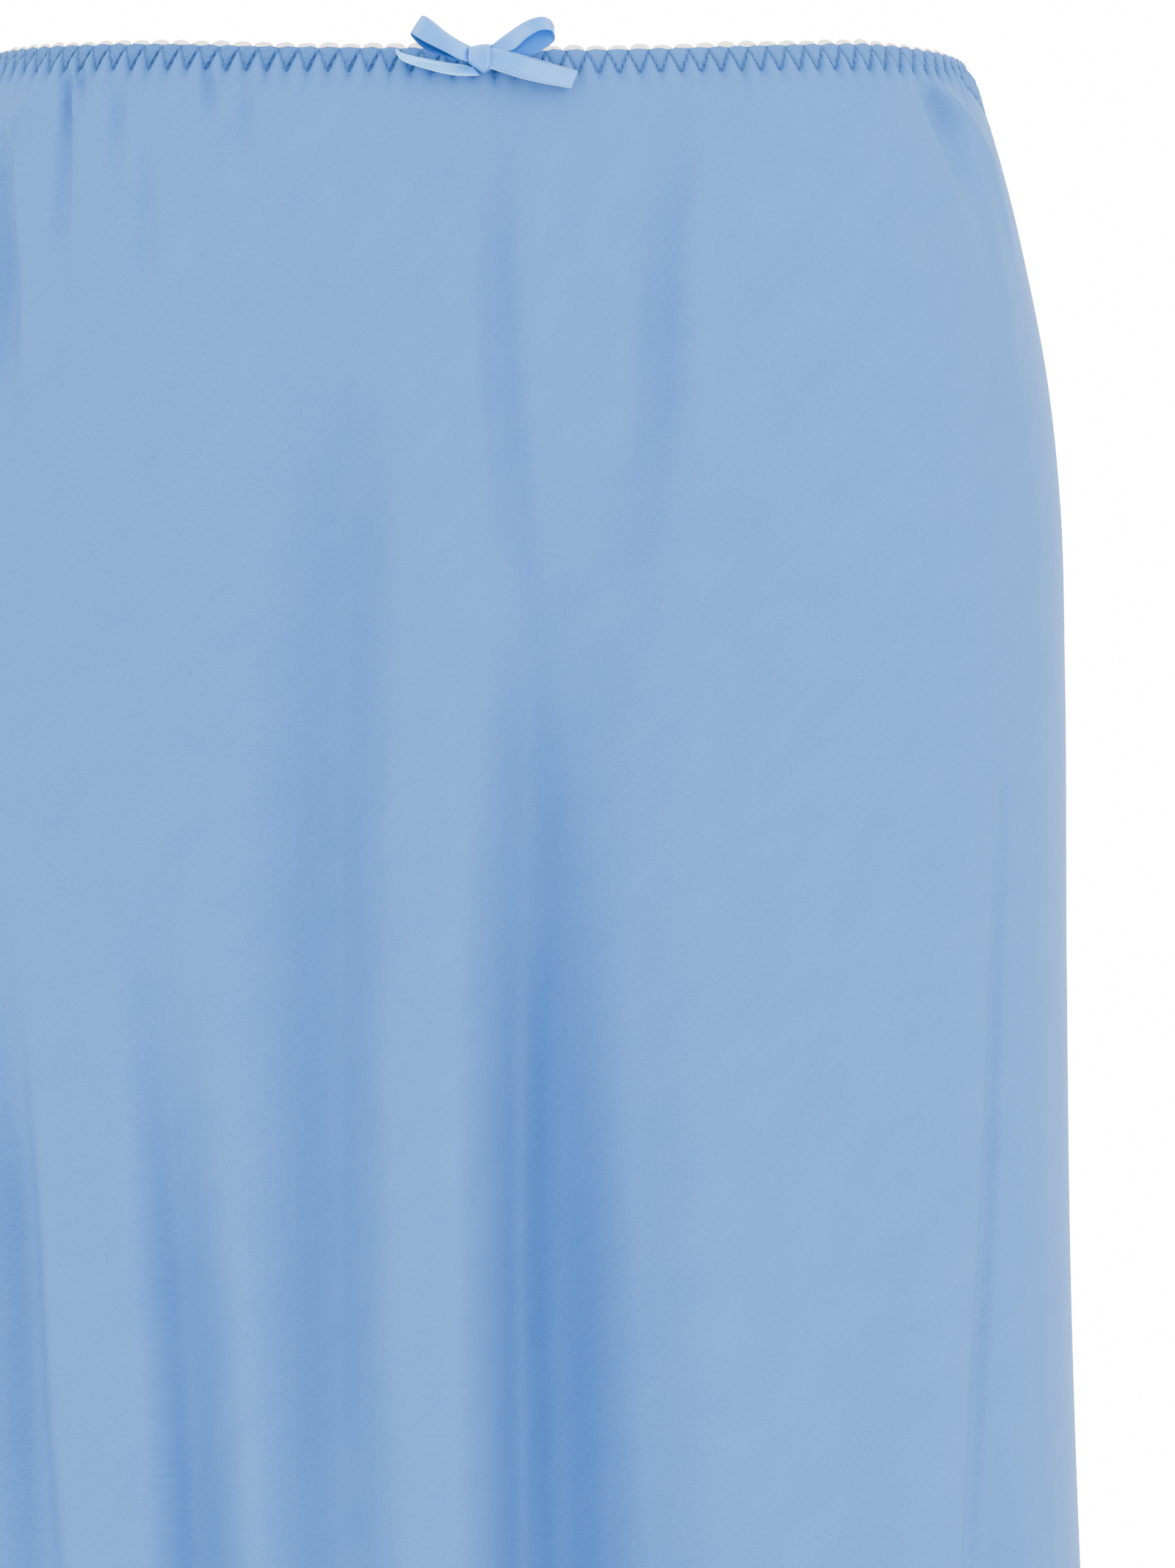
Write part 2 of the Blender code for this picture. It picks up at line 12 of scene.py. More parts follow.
import bpy
import numpy as np
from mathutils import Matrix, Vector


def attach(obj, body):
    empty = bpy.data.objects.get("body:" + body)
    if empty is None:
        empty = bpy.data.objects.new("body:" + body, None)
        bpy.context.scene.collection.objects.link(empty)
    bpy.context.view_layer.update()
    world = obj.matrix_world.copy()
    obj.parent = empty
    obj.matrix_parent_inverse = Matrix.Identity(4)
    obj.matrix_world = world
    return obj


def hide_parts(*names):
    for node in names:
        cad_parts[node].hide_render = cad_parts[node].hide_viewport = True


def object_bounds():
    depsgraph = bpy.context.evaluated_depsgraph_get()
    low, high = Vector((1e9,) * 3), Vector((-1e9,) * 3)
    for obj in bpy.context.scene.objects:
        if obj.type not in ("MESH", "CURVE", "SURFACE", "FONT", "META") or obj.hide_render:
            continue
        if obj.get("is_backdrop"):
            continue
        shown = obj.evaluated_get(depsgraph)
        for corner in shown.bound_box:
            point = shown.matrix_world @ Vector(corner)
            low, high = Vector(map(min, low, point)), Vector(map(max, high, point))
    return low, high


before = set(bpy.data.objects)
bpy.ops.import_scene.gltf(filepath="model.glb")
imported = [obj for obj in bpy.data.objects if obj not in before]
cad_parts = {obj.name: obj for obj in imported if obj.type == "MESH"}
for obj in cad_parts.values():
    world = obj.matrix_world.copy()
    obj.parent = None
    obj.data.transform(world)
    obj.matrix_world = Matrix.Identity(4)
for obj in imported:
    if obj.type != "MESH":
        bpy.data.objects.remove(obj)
cad_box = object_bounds()
MM = 0.001
CM = 0.01
print("frame nodes:", sorted(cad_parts))

# %% [markdown]
# How worn cloth gets its shape
#
# A worn skirt is a tube. A cloth simulation over a figure would choose its own folds, but the
# photograph shows which folds there are. So the tube is made from sections, a few sizes at
# each height, and each fold is pressed into it as a soft trough. The tables are those of the
# solids, except that the waist edge rises a millimetre more or less here and there.

# %% The tube's sizes in centimetres, and the rise of its edge in degrees and millimetres
SKIRT_LENGTH = 78.0 * CM
HEM_DEPTH = 12.0 * MM
SQUARENESS = 2.4
QUARTER = math.pi / 2


def table(columns, *rows):
    """Rows of numbers with named columns."""
    row_type = namedtuple("Row", columns)
    return [row_type(*row) for row in rows]


def tables(columns, rows_by_name):
    """Tables by name, all with the same columns."""
    return {name: table(columns, *rows) for name, rows in rows_by_name.items()}


SECTIONS = table(
    "drop half_width front back",
    (0, 14.35, 10, 9.6), (0.5, 14.58, 10.12, 9.75), (1.2, 14.84, 10.27, 9.95),
    (2.2, 15.16, 10.45, 10.2), (3.9, 15.63, 10.75, 10.65), (5.7, 16.04, 11, 11.2),
    (9.1, 16.69, 11.4, 12.3), (12.5, 17.05, 11.7, 13.1), (17.7, 17.2, 11.9, 13.7),
    (26, 17.25, 12, 13.8), (36.6, 17.4, 12.1, 13.4), (45, 17.7, 12.3, 13.3),
    (60, 18.6, 13, 13.7), (78, 19.9, 13.9, 14.6),
)
EDGE_RISE = table(
    "turn rise",
    (-180, 0), (-110, 0.6), (-78, 3.2), (-55, 2.8), (-30, 0.7), (0, -0.2), (15, -0.5),
    (30, 0.2), (46, 1.9), (58, 3.2), (70, 2.6), (90, 0.7), (180, 0),
)
EDGE_RISE_FADE = 30.0 * MM
print("sections:", len(SECTIONS), "from the waist to the hem at", SKIRT_LENGTH, "m")

# %% The deep folds, in centimetres, as in the solids
FOLD = "drop x left right depth"
FRONT_FOLDS = tables(FOLD, {
    "centre valley": (
        (14, 2.6, 1.6, 2.2, 0), (19.5, 1.9, 2, 2.8, 1.4), (28, 1.5, 2, 3.1, 2.7),
        (36, 1.5, 2, 3.4, 3.3), (45, 1.7, 2.1, 3.6, 3.4), (78, 2.2, 2.8, 4.4, 4)),
    "centre valley shoulder": (
        (17, 4.4, 1.6, 2, 0), (24, 4.1, 1.8, 2.4, 0.6), (32, 4, 2, 2.8, 1.1),
        (45, 4.3, 2, 3, 1.4), (78, 5.3, 2.4, 3.4, 1.7)),
    "centre ridge": (
        (3, -1.4, 1.8, 1.6, 0), (10, -1.2, 1.8, 1.6, -0.25), (28, -1.2, 2, 1.8, -0.5),
        (45, -1, 2.2, 2, -0.6), (78, -0.8, 2.6, 2.4, -0.8)),
    "left drag trough": (
        (1.4, 0.5, 0.9, 0.9, 0), (4.5, 0.62, 0.9, 0.9, 0.28), (13, 1, 1, 1, 0.36),
        (19, 1.3, 1.2, 1.2, 0.2), (24, 1.5, 1.4, 1.4, 0)),
    "right drag trough": (
        (1.4, 5.9, 1.1, 1, 0), (4.9, 5.35, 1.1, 1, 0.34), (10, 5.2, 1.2, 1.1, 0.42),
        (17.4, 3.9, 1.6, 1.4, 0.34), (22, 3.2, 1.8, 1.6, 0)),
    "left soft trough": (
        (8.5, -3.9, 2.4, 1.8, 0), (13.2, -3.8, 2.8, 1.8, 0.9), (19.5, -4, 3, 1.9, 1.3),
        (28, -4.1, 3, 1.9, 1.6), (36, -4.1, 2.8, 2, 1.8), (45, -3.9, 2.8, 2.2, 2),
        (78, -3.6, 3.2, 2.8, 2.8)),
    "left valley": (
        (23, -9.3, 1.1, 1.8, 0), (28, -9, 1.2, 2, 0.6), (36, -8.5, 1.2, 2.4, 1.6),
        (45, -8.1, 1.2, 2.6, 2.1), (78, -7.9, 2, 3.4, 3)),
    "far left valley": (
        (24, -13.6, 1.3, 1.3, 0), (28, -13.5, 1.4, 1.4, 0.5), (33, -13.3, 1.5, 1.5, 1.1),
        (38, -13.1, 1.6, 1.6, 1.2), (45, -12.6, 1.8, 1.8, 1.1), (78, -13.2, 2.8, 2.8, 2.2)),
    "right faint trough": (
        (20, 11.9, 2.2, 2, 0), (32, 11.7, 2.4, 2.2, 0.25), (45, 9.8, 2.8, 2.6, 0.5),
        (60, 9.4, 3.2, 3, 1.6), (78, 9.4, 3.6, 3.4, 2.6)),
    "right side valley": (
        (24, 15.3, 1.5, 1.5, 0), (40, 14.8, 1.6, 1.6, 0.35), (60, 15.2, 2.2, 2.2, 1.1),
        (78, 15.8, 2.8, 2.8, 2)),
    "right seam valley": (
        (44, 17.5, 1.6, 1.8, 0), (60, 18.4, 2.2, 2.4, 0.7), (78, 19.7, 2.8, 3, 1.5)),
    "left seam valley": (
        (40, -17.3, 1.8, 1.6, 0), (60, -18.5, 2.4, 2.2, 0.8), (78, -19.8, 3, 2.6, 1.7)),
})
BACK_FOLDS = tables(FOLD, {
    "back valley far left": (
        (30, -14.6, 1.8, 2, 0), (46, -14.2, 2.2, 2.4, 0.9), (78, -14.6, 2.8, 3, 2.3)),
    "back valley left": (
        (22, -8.4, 2, 1.8, 0), (36, -8, 2.8, 2.2, 1.2), (78, -8.6, 3.8, 3, 2.9)),
    "back valley centre": (
        (18, -1, 2, 2.2, 0), (30, -1.4, 2.8, 3, 1.3), (48, -1.8, 3.4, 3.6, 2.3),
        (78, -2, 4, 4.2, 3.1)),
    "back drag trough": (
        (2, 3, 1.5, 1.5, 0), (8, 2.6, 1.5, 1.5, 0.25), (18, 1.4, 1.8, 1.8, 0.3),
        (28, 0.6, 1.8, 1.8, 0)),
    "back valley right": (
        (26, 5, 2, 2.2, 0), (42, 5.2, 2.6, 2.8, 1.1), (78, 5.6, 3.2, 3.4, 2.5)),
    "back valley far right": (
        (24, 11.6, 2, 1.8, 0), (40, 11.8, 2.6, 2.2, 1.3), (78, 12.6, 3.4, 3, 2.7)),
    "back side valley left": (
        (46, -17, 1.8, 1.8, 0), (60, -17.8, 2.2, 2.4, 0.6), (78, -18.8, 2.6, 3, 1.3)),
    "back side valley right": (
        (38, 16.4, 1.8, 1.6, 0), (54, 17, 2.6, 2, 0.8), (78, 18.3, 3.2, 2.4, 1.8)),
})
print("deep folds:", len(FRONT_FOLDS) + len(BACK_FOLDS))

# %% [markdown]
# Creases that are too small for the solids
#
# Below a gathered waist the cloth keeps short drag lines, and a long fold often has a sharp
# edge on one side. Painted ones would not catch the light, so these are pressed into the thin
# cloth like the deep folds, only narrower, and a negative depth is a ridge. Those on the back
# don't show in the photograph and follow the habit of those on the front.

# %% Small creases, in centimetres
FRONT_CREASES = tables(FOLD, {
    "side crease": (
        (17, 15.3, 0.5, 0.35, 0), (24, 15.05, 0.6, 0.35, 0.16), (32, 14.9, 0.7, 0.4, 0.24),
        (45, 14.3, 0.8, 0.5, 0.2), (60, 14, 1.2, 0.8, 0.2), (78, 13.8, 1.5, 1.2, 0.2)),
    "left valley floor": (
        (31, -8.8, 1.2, 2.2, 0), (37, -8.45, 1.2, 2.4, -0.25), (45, -8.1, 1.2, 2.6, -0.4),
        (78, -7.9, 2, 3.4, -0.6)),
    "soft trough floor": (
        (36, -4.1, 2.8, 2, 0), (42, -4, 2.8, 2.1, -0.25), (78, -3.6, 3.2, 2.8, -0.4)),
    "valley core left": (
        (24, 1.4, 1, 1.4, 0), (30, 1.35, 1, 1.4, 0.2), (45, 1.25, 1, 1.4, 0.42),
        (78, 1.5, 1.2, 1.6, 0.46)),
    "valley core right": (
        (20, 2.7, 1, 1.2, 0), (27, 2.75, 1.1, 1.3, 0.16), (38, 2.75, 1.3, 1.3, 0.4),
        (45, 2.8, 1.3, 1.3, 0.5), (78, 3.2, 1.4, 1.4, 0.55)),
    "left drag line": (
        (2, 0.75, 0.6, 0.8, 0), (5, 0.6, 0.6, 0.8, 0.08), (8, 0.5, 0.6, 0.8, 0.1),
        (13, 1, 0.7, 0.8, 0.06), (19, 1.5, 0.7, 0.8, 0)),
    "right drag line": (
        (1.2, 5.9, 0.6, 0.8, 0), (3, 5.75, 0.6, 0.8, 0.07), (7, 5.3, 0.6, 0.8, 0.1),
        (12.5, 4.85, 0.7, 0.8, 0.05), (18, 4, 0.8, 0.8, 0)),
    "hip pocket": (
        (0.9, 13, 0.9, 0.7, 0), (1.5, 13.4, 1.1, 0.8, 0.42), (2.7, 13.95, 1.2, 0.9, 0.42),
        (4.2, 14.5, 1.3, 0.9, 0.16), (7, 15, 1.3, 1, 0)),
    "hip arc": (
        (0.7, 13, 0.9, 0.7, 0), (1.3, 13.7, 1, 0.8, -0.18), (2.1, 14.45, 0.9, 0.7, -0.22),
        (3.6, 15.1, 0.8, 0.6, -0.14), (6, 15.7, 0.8, 0.6, 0)),
    "hip hollow": (
        (0.5, 13.9, 0.5, 0.5, 0), (1.1, 14.6, 0.5, 0.7, 0.3), (1.9, 15.15, 0.5, 0.7, 0.32),
        (3, 15.6, 0.5, 0.6, 0)),
    "hip ridge": (
        (0.6, 10.1, 0.6, 0.6, 0), (3, 11.2, 0.9, 0.8, -0.1), (6, 12.5, 1.1, 1, -0.1),
        (9, 13.6, 1.2, 1, 0)),
    "right drag ridge": (
        (1.6, 6.6, 0.6, 0.6, 0), (6, 6.3, 0.8, 0.8, -0.12), (12, 6.1, 1, 1, -0.1),
        (17, 5.6, 1, 1, 0)),
    "left gather 1": (
        (0.5, -11.65, 0.3, 0.3, 0), (1, -11.7, 0.3, 0.3, 0.28), (2.8, -11.75, 0.42, 0.42, 0.36),
        (5, -11.8, 0.5, 0.5, 0.22), (8, -11.8, 0.5, 0.5, 0)),
    "left gather 2": (
        (0.5, -11.2, 0.28, 0.28, 0), (0.9, -11.25, 0.28, 0.28, 0.22),
        (1.6, -11.3, 0.3, 0.3, 0.1), (3.4, -11.35, 0.4, 0.4, 0)),
    "left gather 3": (
        (0.7, -10.2, 0.3, 0.3, 0), (1.6, -10.2, 0.4, 0.4, 0.2), (3.4, -10.2, 0.5, 0.5, 0.14),
        (6, -10.2, 0.6, 0.6, 0)),
    "left gather 4": (
        (1.4, -9.4, 0.4, 0.4, 0), (3.6, -9.35, 0.5, 0.5, 0.2), (6.4, -9.3, 0.6, 0.6, 0.16),
        (9.5, -9.3, 0.6, 0.6, 0)),
    "left gather 5": (
        (0.5, -7.55, 0.25, 0.3, 0), (1, -7.55, 0.3, 0.35, 0.2), (2.6, -7.6, 0.4, 0.4, 0)),
    "left gather 6": (
        (0.6, -6.5, 0.3, 0.3, 0), (1.6, -6.5, 0.35, 0.4, 0.16), (4.6, -6.5, 0.5, 0.5, 0)),
    "far left hollow": (
        (2, -13.5, 0.6, 0.6, 0), (3.4, -13.7, 0.8, 0.9, 0.5), (6.4, -13.6, 0.9, 1, 0.7),
        (9, -13.5, 0.9, 1, 0.4), (12, -13.4, 1, 1, 0)),
    "left light diagonal": (
        (0.9, -12.4, 0.4, 0.4, 0), (1.5, -12.8, 0.45, 0.4, -0.14),
        (2.3, -13.55, 0.5, 0.4, -0.16), (3.4, -14.3, 0.6, 0.5, 0)),
})
BACK_CREASES = tables(FOLD, {
    "back gather 1": (
        (0.9, -9.8, 0.35, 0.35, 0), (2.4, -9.9, 0.4, 0.5, 0.13), (5, -10.1, 0.6, 0.6, 0)),
    "back gather 2": (
        (0.8, -4.2, 0.35, 0.4, 0), (2, -4.3, 0.45, 0.45, 0.1), (4, -4.4, 0.5, 0.5, 0)),
    "back gather 3": (
        (0.8, 6.8, 0.35, 0.35, 0), (2.2, 6.9, 0.5, 0.4, 0.12), (5.4, 7.1, 0.6, 0.6, 0)),
    "back hip ridge": (
        (0.7, 10.6, 0.5, 0.5, 0), (3.4, 11.8, 0.6, 0.7, -0.1), (8, 13.4, 0.9, 0.8, 0)),
})
print("small creases:", len(FRONT_CREASES) + len(BACK_CREASES))

# %% Reading a table as a smooth curve


def read_curve(where, places, values):
    """Values at the places asked for, on a smooth curve through a table, straight past it."""
    where = np.asarray(where, float)
    places = np.asarray(places, float)
    values = np.asarray(values, float)
    slopes = np.gradient(values, places)
    cell = np.clip(np.searchsorted(places, where) - 1, 0, len(places) - 2)
    span = places[cell + 1] - places[cell]
    part = np.clip((where - places[cell]) / span, 0.0, 1.0)
    start = values[cell] + slopes[cell] * span * part * (1 - part) ** 2
    end = slopes[cell + 1] * span * part ** 2 * (1 - part)
    ease = part ** 2 * (3 - 2 * part)
    inside = start + (values[cell + 1] - values[cell]) * ease - end
    before = np.minimum(where - places[0], 0.0) * slopes[0]
    after = np.maximum(where - places[-1], 0.0) * slopes[-1]
    return inside + before + after


def read_table(drop, rows):
    """The other columns of a centimetre table, in metres, at a drop."""
    drops, *columns = np.array(rows, float).T * CM
    return [read_curve(drop, drops, values) for values in columns]


def fade(distance, length):
    """1 up to a distance of 0, and down to 0 at a length."""
    return np.clip(1 - distance / length, 0.0, 1.0)


def unit_length(vectors):
    return vectors / np.linalg.norm(vectors, axis=-1, keepdims=True)


def section_sizes(drop):
    """Half width, front depth and back depth at a drop, all in metres."""
    return read_table(drop, SECTIONS)


print("half width at the hips:", round(float(section_sizes(0.177)[0]), 4), "m")

# %% The tube before its folds
FINE_TURNS = 2001


def depth_share(x, half_width):
    """Share of a section's depth that is left at an X."""
    return np.clip(1 - np.abs(x / half_width) ** SQUARENESS, 0.0, 1.0) ** (1 / SQUARENESS)


def section_point(turn, drop):
    """Base section's X and Y with its outward normal. Turn 0 is the front's centre."""
    half_width, front, back = section_sizes(drop)
    depth = np.where(np.cos(turn) > 0, front, back)
    across = np.abs(np.sin(turn) / half_width) ** SQUARENESS
    along = np.abs(np.cos(turn) / depth) ** SQUARENESS
    radius = (across + along) ** (-1 / SQUARENESS)
    x = radius * np.sin(turn)
    y = -radius * np.cos(turn)
    out_x = np.sign(x) * np.abs(x) ** (SQUARENESS - 1) / half_width ** SQUARENESS
    out_y = np.sign(y) * np.abs(y) ** (SQUARENESS - 1) / depth ** SQUARENESS
    length = np.hypot(out_x, out_y)
    return x, y, out_x / length, out_y / length


def lengths_along(path):
    """Length along a path of points, up to each of them."""
    steps = np.linalg.norm(np.diff(path, axis=0), axis=1)
    return np.concatenate(([0.0], np.cumsum(steps)))


def even_turns(count, first, last):
    """Turns that part the waist edge into equal lengths, and its whole length."""
    fine = np.linspace(first, last, FINE_TURNS)
    lengths = lengths_along(np.stack(section_point(fine, np.zeros_like(fine))[:2], axis=1))
    return np.interp(np.linspace(0.0, lengths[-1], count + 1), lengths, fine), lengths[-1]


WAIST_GIRTH = even_turns(4, -math.pi, math.pi)[1]
print("waist girth:", round(WAIST_GIRTH, 3), "m")

# %% The folds pressed into the tube
PAST_SEAM = 3.0 * CM
SLOPE_STEP = 1e-4


def fold_depth(rows, facing, x, y, drop, sizes):
    """How far one fold draws the cloth in. Facing is -1 for the front and 1 for the back."""
    held = np.clip(drop, rows[0].drop * CM, rows[-1].drop * CM)
    fold_x, left, right, depth = read_table(held, rows)
    half_width, front, back = sizes
    fold_y = facing * (front if facing < 0 else back) * depth_share(fold_x, half_width)
    side = np.sign(np.arctan2(x, -facing * -y) - np.arctan2(fold_x, -facing * -fold_y))
    distance = np.hypot(x - fold_x, y - fold_y)
    width = np.where(side < 0, left, right)
    share = np.clip(distance / width, 0.0, 1.0)
    return depth * (0.5 + 0.5 * np.cos(math.pi * share))


def cloth_surface(turn, drop):
    """Outer face of the cloth with its folds, without its stitches."""
    turn, drop = np.broadcast_arrays(np.asarray(turn, float), np.asarray(drop, float))
    sizes = section_sizes(drop)
    x, y, out_x, out_y = section_point(turn, drop)
    sunk = np.zeros_like(x)
    for facing, kinds in ((-1, (FRONT_FOLDS, FRONT_CREASES)), (1, (BACK_FOLDS, BACK_CREASES))):
        near = (facing * y > -PAST_SEAM) & (drop >= 0)
        placed = [values[near] for values in (x, y, drop)]
        near_sizes = [size[near] for size in sizes]
        for folds in kinds:
            for rows in folds.values():
                sunk[near] += fold_depth(rows, facing, *placed, near_sizes)
    degrees = np.degrees(turn + math.pi) % 360.0 - 180.0
    rise = read_curve(degrees, *np.array(EDGE_RISE, float).T) * MM
    z = rise * fade(drop, EDGE_RISE_FADE) - drop
    return np.stack((x - sunk * out_x, y - sunk * out_y, z), axis=-1)


def cloth_normal(turn, drop):
    """Outward normal of the cloth's outer face, from its slopes."""
    around = cloth_surface(turn + SLOPE_STEP, drop) - cloth_surface(turn - SLOPE_STEP, drop)
    down = cloth_surface(turn, drop + SLOPE_STEP) - cloth_surface(turn, drop - SLOPE_STEP)
    return unit_length(np.cross(down, around))


def cloth_offset(turn, drop, out):
    """Points at a distance outside the cloth's outer face. A negative one is inside it."""
    turn, drop, out = np.broadcast_arrays(turn, drop, out)
    return cloth_surface(turn, drop) + cloth_normal(turn, drop) * np.expand_dims(out, -1)


print("front centre at the hips:", np.round(cloth_surface(0.0, 0.177), 4))

# %% [markdown]
# The waist stitching
#
# The elastic is sewn on stretched, with a zigzag stitch, and then draws the cloth together:
# the cloth sinks along each stitch, puffs out between them, and short puckers run on below. A
# bump map would miss the waist's outline, so a small height is added to the cloth's points: a
# groove along each zigzag, a tooth of cloth under each upper turn, and a wave that fades out.

# %% Heights round the zigzag
PUCKERS_PER_PANEL = 68
ZIGZAG_TOP = 0.7 * MM
ZIGZAG_FOOT = 6.9 * MM
GROOVE_DEPTH = 0.35 * MM
GROOVE_WIDTH = 0.65 * MM
TOOTH_HEIGHT = 0.8 * MM
TOOTH_SLOPE = 1.4 * MM
TOOTH_END = 5.0 * MM
PUCKER_HEIGHT = 0.4 * MM
PUCKER_START = 6.0 * MM
PUCKER_END = 22.0 * MM
STITCH_LEAN = 0.42
LUMP_HEIGHT = 0.14 * MM
LUMP_END = 3.0 * MM
DEEPEST_RELIEF = 1.3 * MM
EDGE_WAVE = 0.22 * MM
EDGE_WAVE_END = 4.0 * MM
ZIGZAG_STITCHES = 3


def uneven(number, seed):
    """A fixed number between 0 and 1 for each whole number, in no visible order."""
    return np.modf(np.abs(np.sin(np.asarray(number) * 12.9898 + seed * 78.233)) * 43758.5453)[0]


def zigzag_drop(phase):
    """Drop of the zigzag at a phase. It is lowest at whole numbers."""
    near_foot = np.abs(2 * np.mod(phase, 1.0) - 1)
    return ZIGZAG_TOP + (ZIGZAG_FOOT - ZIGZAG_TOP) * near_foot


def stroke_strength(phase, turn):
    """How firmly a stroke pulls. On a panel's left half, from outside, falling ones are slack."""
    falling = np.mod(phase, 1.0) > 0.5
    slack = np.clip(0.5 - np.sin(turn) * np.cos(turn) * 4, 0.0, 1.0)
    return (1 - 0.7 * falling * slack) * (0.75 + 0.5 * uneven(np.floor(phase * 2), 4))


def waist_relief(phase, drop, turn):
    """Height of the cloth over its smooth face, from its stitches and puckers."""
    below = (drop - zigzag_drop(phase)) * STITCH_LEAN
    groove = -GROOVE_DEPTH * np.exp(-(below / GROOVE_WIDTH) ** 2)
    number = np.floor(phase)
    past_foot = drop - ZIGZAG_FOOT
    strength = 0.6 + 0.8 * uneven(number, 1)
    tooth = (np.clip(below / TOOTH_SLOPE, 0.0, 1.0) - 0.8) * (0.7 + 0.3 * strength)
    length = PUCKER_END * (0.35 + 0.65 * uneven(number, 2))
    start = np.clip((drop - ZIGZAG_TOP) / PUCKER_START, 0.0, 1.0)
    ridges = np.cos(2 * math.pi * phase) + 0.6
    wave = strength * ridges * start * fade(past_foot, length - ZIGZAG_FOOT) ** 1.5
    lumps = np.sin(phase * 17.3 + drop / (0.55 * MM)) * np.sin(phase * 11.1 - drop / (0.8 * MM))
    height = (groove * stroke_strength(phase, turn) - PUCKER_HEIGHT * wave
              + TOOTH_HEIGHT * tooth * fade(past_foot, TOOTH_END)
              + LUMP_HEIGHT * lumps * fade(past_foot, LUMP_END))
    return np.maximum(height, -DEEPEST_RELIEF)


def edge_wave(phase, drop):
    """Lift of the cloth's upper edge between two feet of the zigzag."""
    height = EDGE_WAVE * np.cos(2 * math.pi * phase) * (0.4 + uneven(np.floor(phase), 6))
    return height * fade(drop, EDGE_WAVE_END)


print("zigzag pitch:", round(WAIST_GIRTH / 2 / PUCKERS_PER_PANEL * 1000, 2), "mm")

# %% [markdown]
# Turning rows of points into a mesh
#
# Each piece of cloth is a list of rows of points, and faces join neighbouring rows. The waist
# needs many points for its stitches and the rest doesn't, so a row may have twice the steps of
# the next, and fans of three triangles join the two. A grid with one step would be heavier.

# %% Mesh helpers


def strip_faces(upper, lower):
    """Faces between two rows of point numbers. The upper one may have twice the steps."""
    if len(upper) == len(lower):
        return list(zip(upper, lower, lower[1:], upper[1:]))
    faces = []
    fans = zip(lower, lower[1:], upper[::2], upper[1::2], upper[2::2])
    for near, far, left, middle, right in fans:
        faces += [(left, near, middle), (middle, near, far), (middle, far, right)]
    return faces


def number_rows(rows):
    """Point numbers of each row, when the rows are stored one after another."""
    ends = np.cumsum([len(row) for row in rows]).tolist()
    return [list(range(end - len(row), end)) for row, end in zip(rows, ends)]


def make_mesh(name, points, faces):
    mesh = bpy.data.meshes.new(name)
    mesh.from_pydata(np.asarray(points, float).tolist(), [], faces)
    mesh.update()
    mesh.shade_smooth()
    piece = bpy.data.objects.new(name, mesh)
    bpy.context.collection.objects.link(piece)
    return piece


def join_rows(name, rows, ring=False, closed=False, capped=False, thickness=0.0, offset=0.0):
    """Piece whose faces join each row to the next.

    A ring joins the last row to the first, and closed rows end at their own first point.
    """
    numbers = number_rows(rows)
    if closed:
        numbers = [row + row[:1] for row in numbers]
    faces = []
    for one, two in zip(numbers, numbers[1:] + (numbers[:1] if ring else [])):
        faces += strip_faces(one, two)
    if capped:
        faces.append(tuple(row[0] for row in numbers))
        faces.append(tuple(row[-1] for row in reversed(numbers)))
    piece = make_mesh(name, np.concatenate(rows), faces)
    if thickness:
        solid = piece.modifiers.new("thickness", "SOLIDIFY")
        solid.thickness = thickness
        solid.offset = offset
    shown = piece.evaluated_get(bpy.context.evaluated_depsgraph_get())
    count = sum(len(face.vertices) - 2 for face in shown.data.polygons)
    print(name, "triangles:", count)
    return piece


print("mesh helpers ready")

# %% [markdown]
# The panels
#
# The skirt is cut as a front and a back, with the satin's threads slanting at 45 degrees, so
# that it clings at the hips and falls into soft flutes. Each panel is one thin sheet with a
# Solidify modifier, which is simpler than building both faces. The cloth dips a little along
# the side seams, and the turned hem stands a little proud, with a groove where it is caught.

# %% Rows of a panel
CLOTH_THICKNESS = 0.5 * MM
SEAM_GAP = 0.1 * MM
SEAM_DIP = 0.5 * MM
SEAM_DIP_WIDTH = 1.2 * MM
HEM_EXTRA = 0.35 * MM
HEM_STITCH_DROP = SKIRT_LENGTH - 10.5 * MM
HEM_GROOVE = 0.3 * MM

FRONT_GRID, BACK_GRID = table(
    "fine coarse fine_rows upper_rows lower_rows", (10, 5, 18, 66, 30), (6, 3, 14, 50, 30))
FINE_END = 10.5 * MM
UPPER_END = 46.0 * CM


def panel_rows(grid):
    """Drop and steps per pucker of each row, from the waist to the hem."""
    rows = [(drop, grid.fine) for drop in np.linspace(0.0, FINE_END, grid.fine_rows)]
    near_waist = FINE_END + np.array([1.2, 2.6, 4.4, 6.6, 9.4]) * MM
    rows += [(drop, grid.coarse) for drop in near_waist]
    upper = np.linspace(near_waist[-1], UPPER_END, grid.upper_rows)[1:]
    rows += [(drop, grid.coarse) for drop in upper]
    lower = np.linspace(UPPER_END, HEM_STITCH_DROP - 3 * MM, grid.lower_rows)[1:]
    rows += [(drop, grid.coarse) for drop in lower]
    hem = HEM_STITCH_DROP + np.array([-1.5, -0.7, 0.0, 0.7, 1.6, 5.0, 8.5, 10.0, 10.5]) * MM
    rows += [(drop, grid.coarse) for drop in hem]
    return rows


def hem_relief(drop):
    """Height of the turned hem, with the groove of its stitches."""
    over_hem = np.clip((drop - (SKIRT_LENGTH - HEM_DEPTH)) / (1.0 * MM), 0.0, 1.0)
    groove = np.exp(-((drop - HEM_STITCH_DROP) / (0.5 * MM)) ** 2)
    return HEM_EXTRA * over_hem - HEM_GROOVE * groove


print("rows of the front:", len(panel_rows(FRONT_GRID)))

# %% One panel


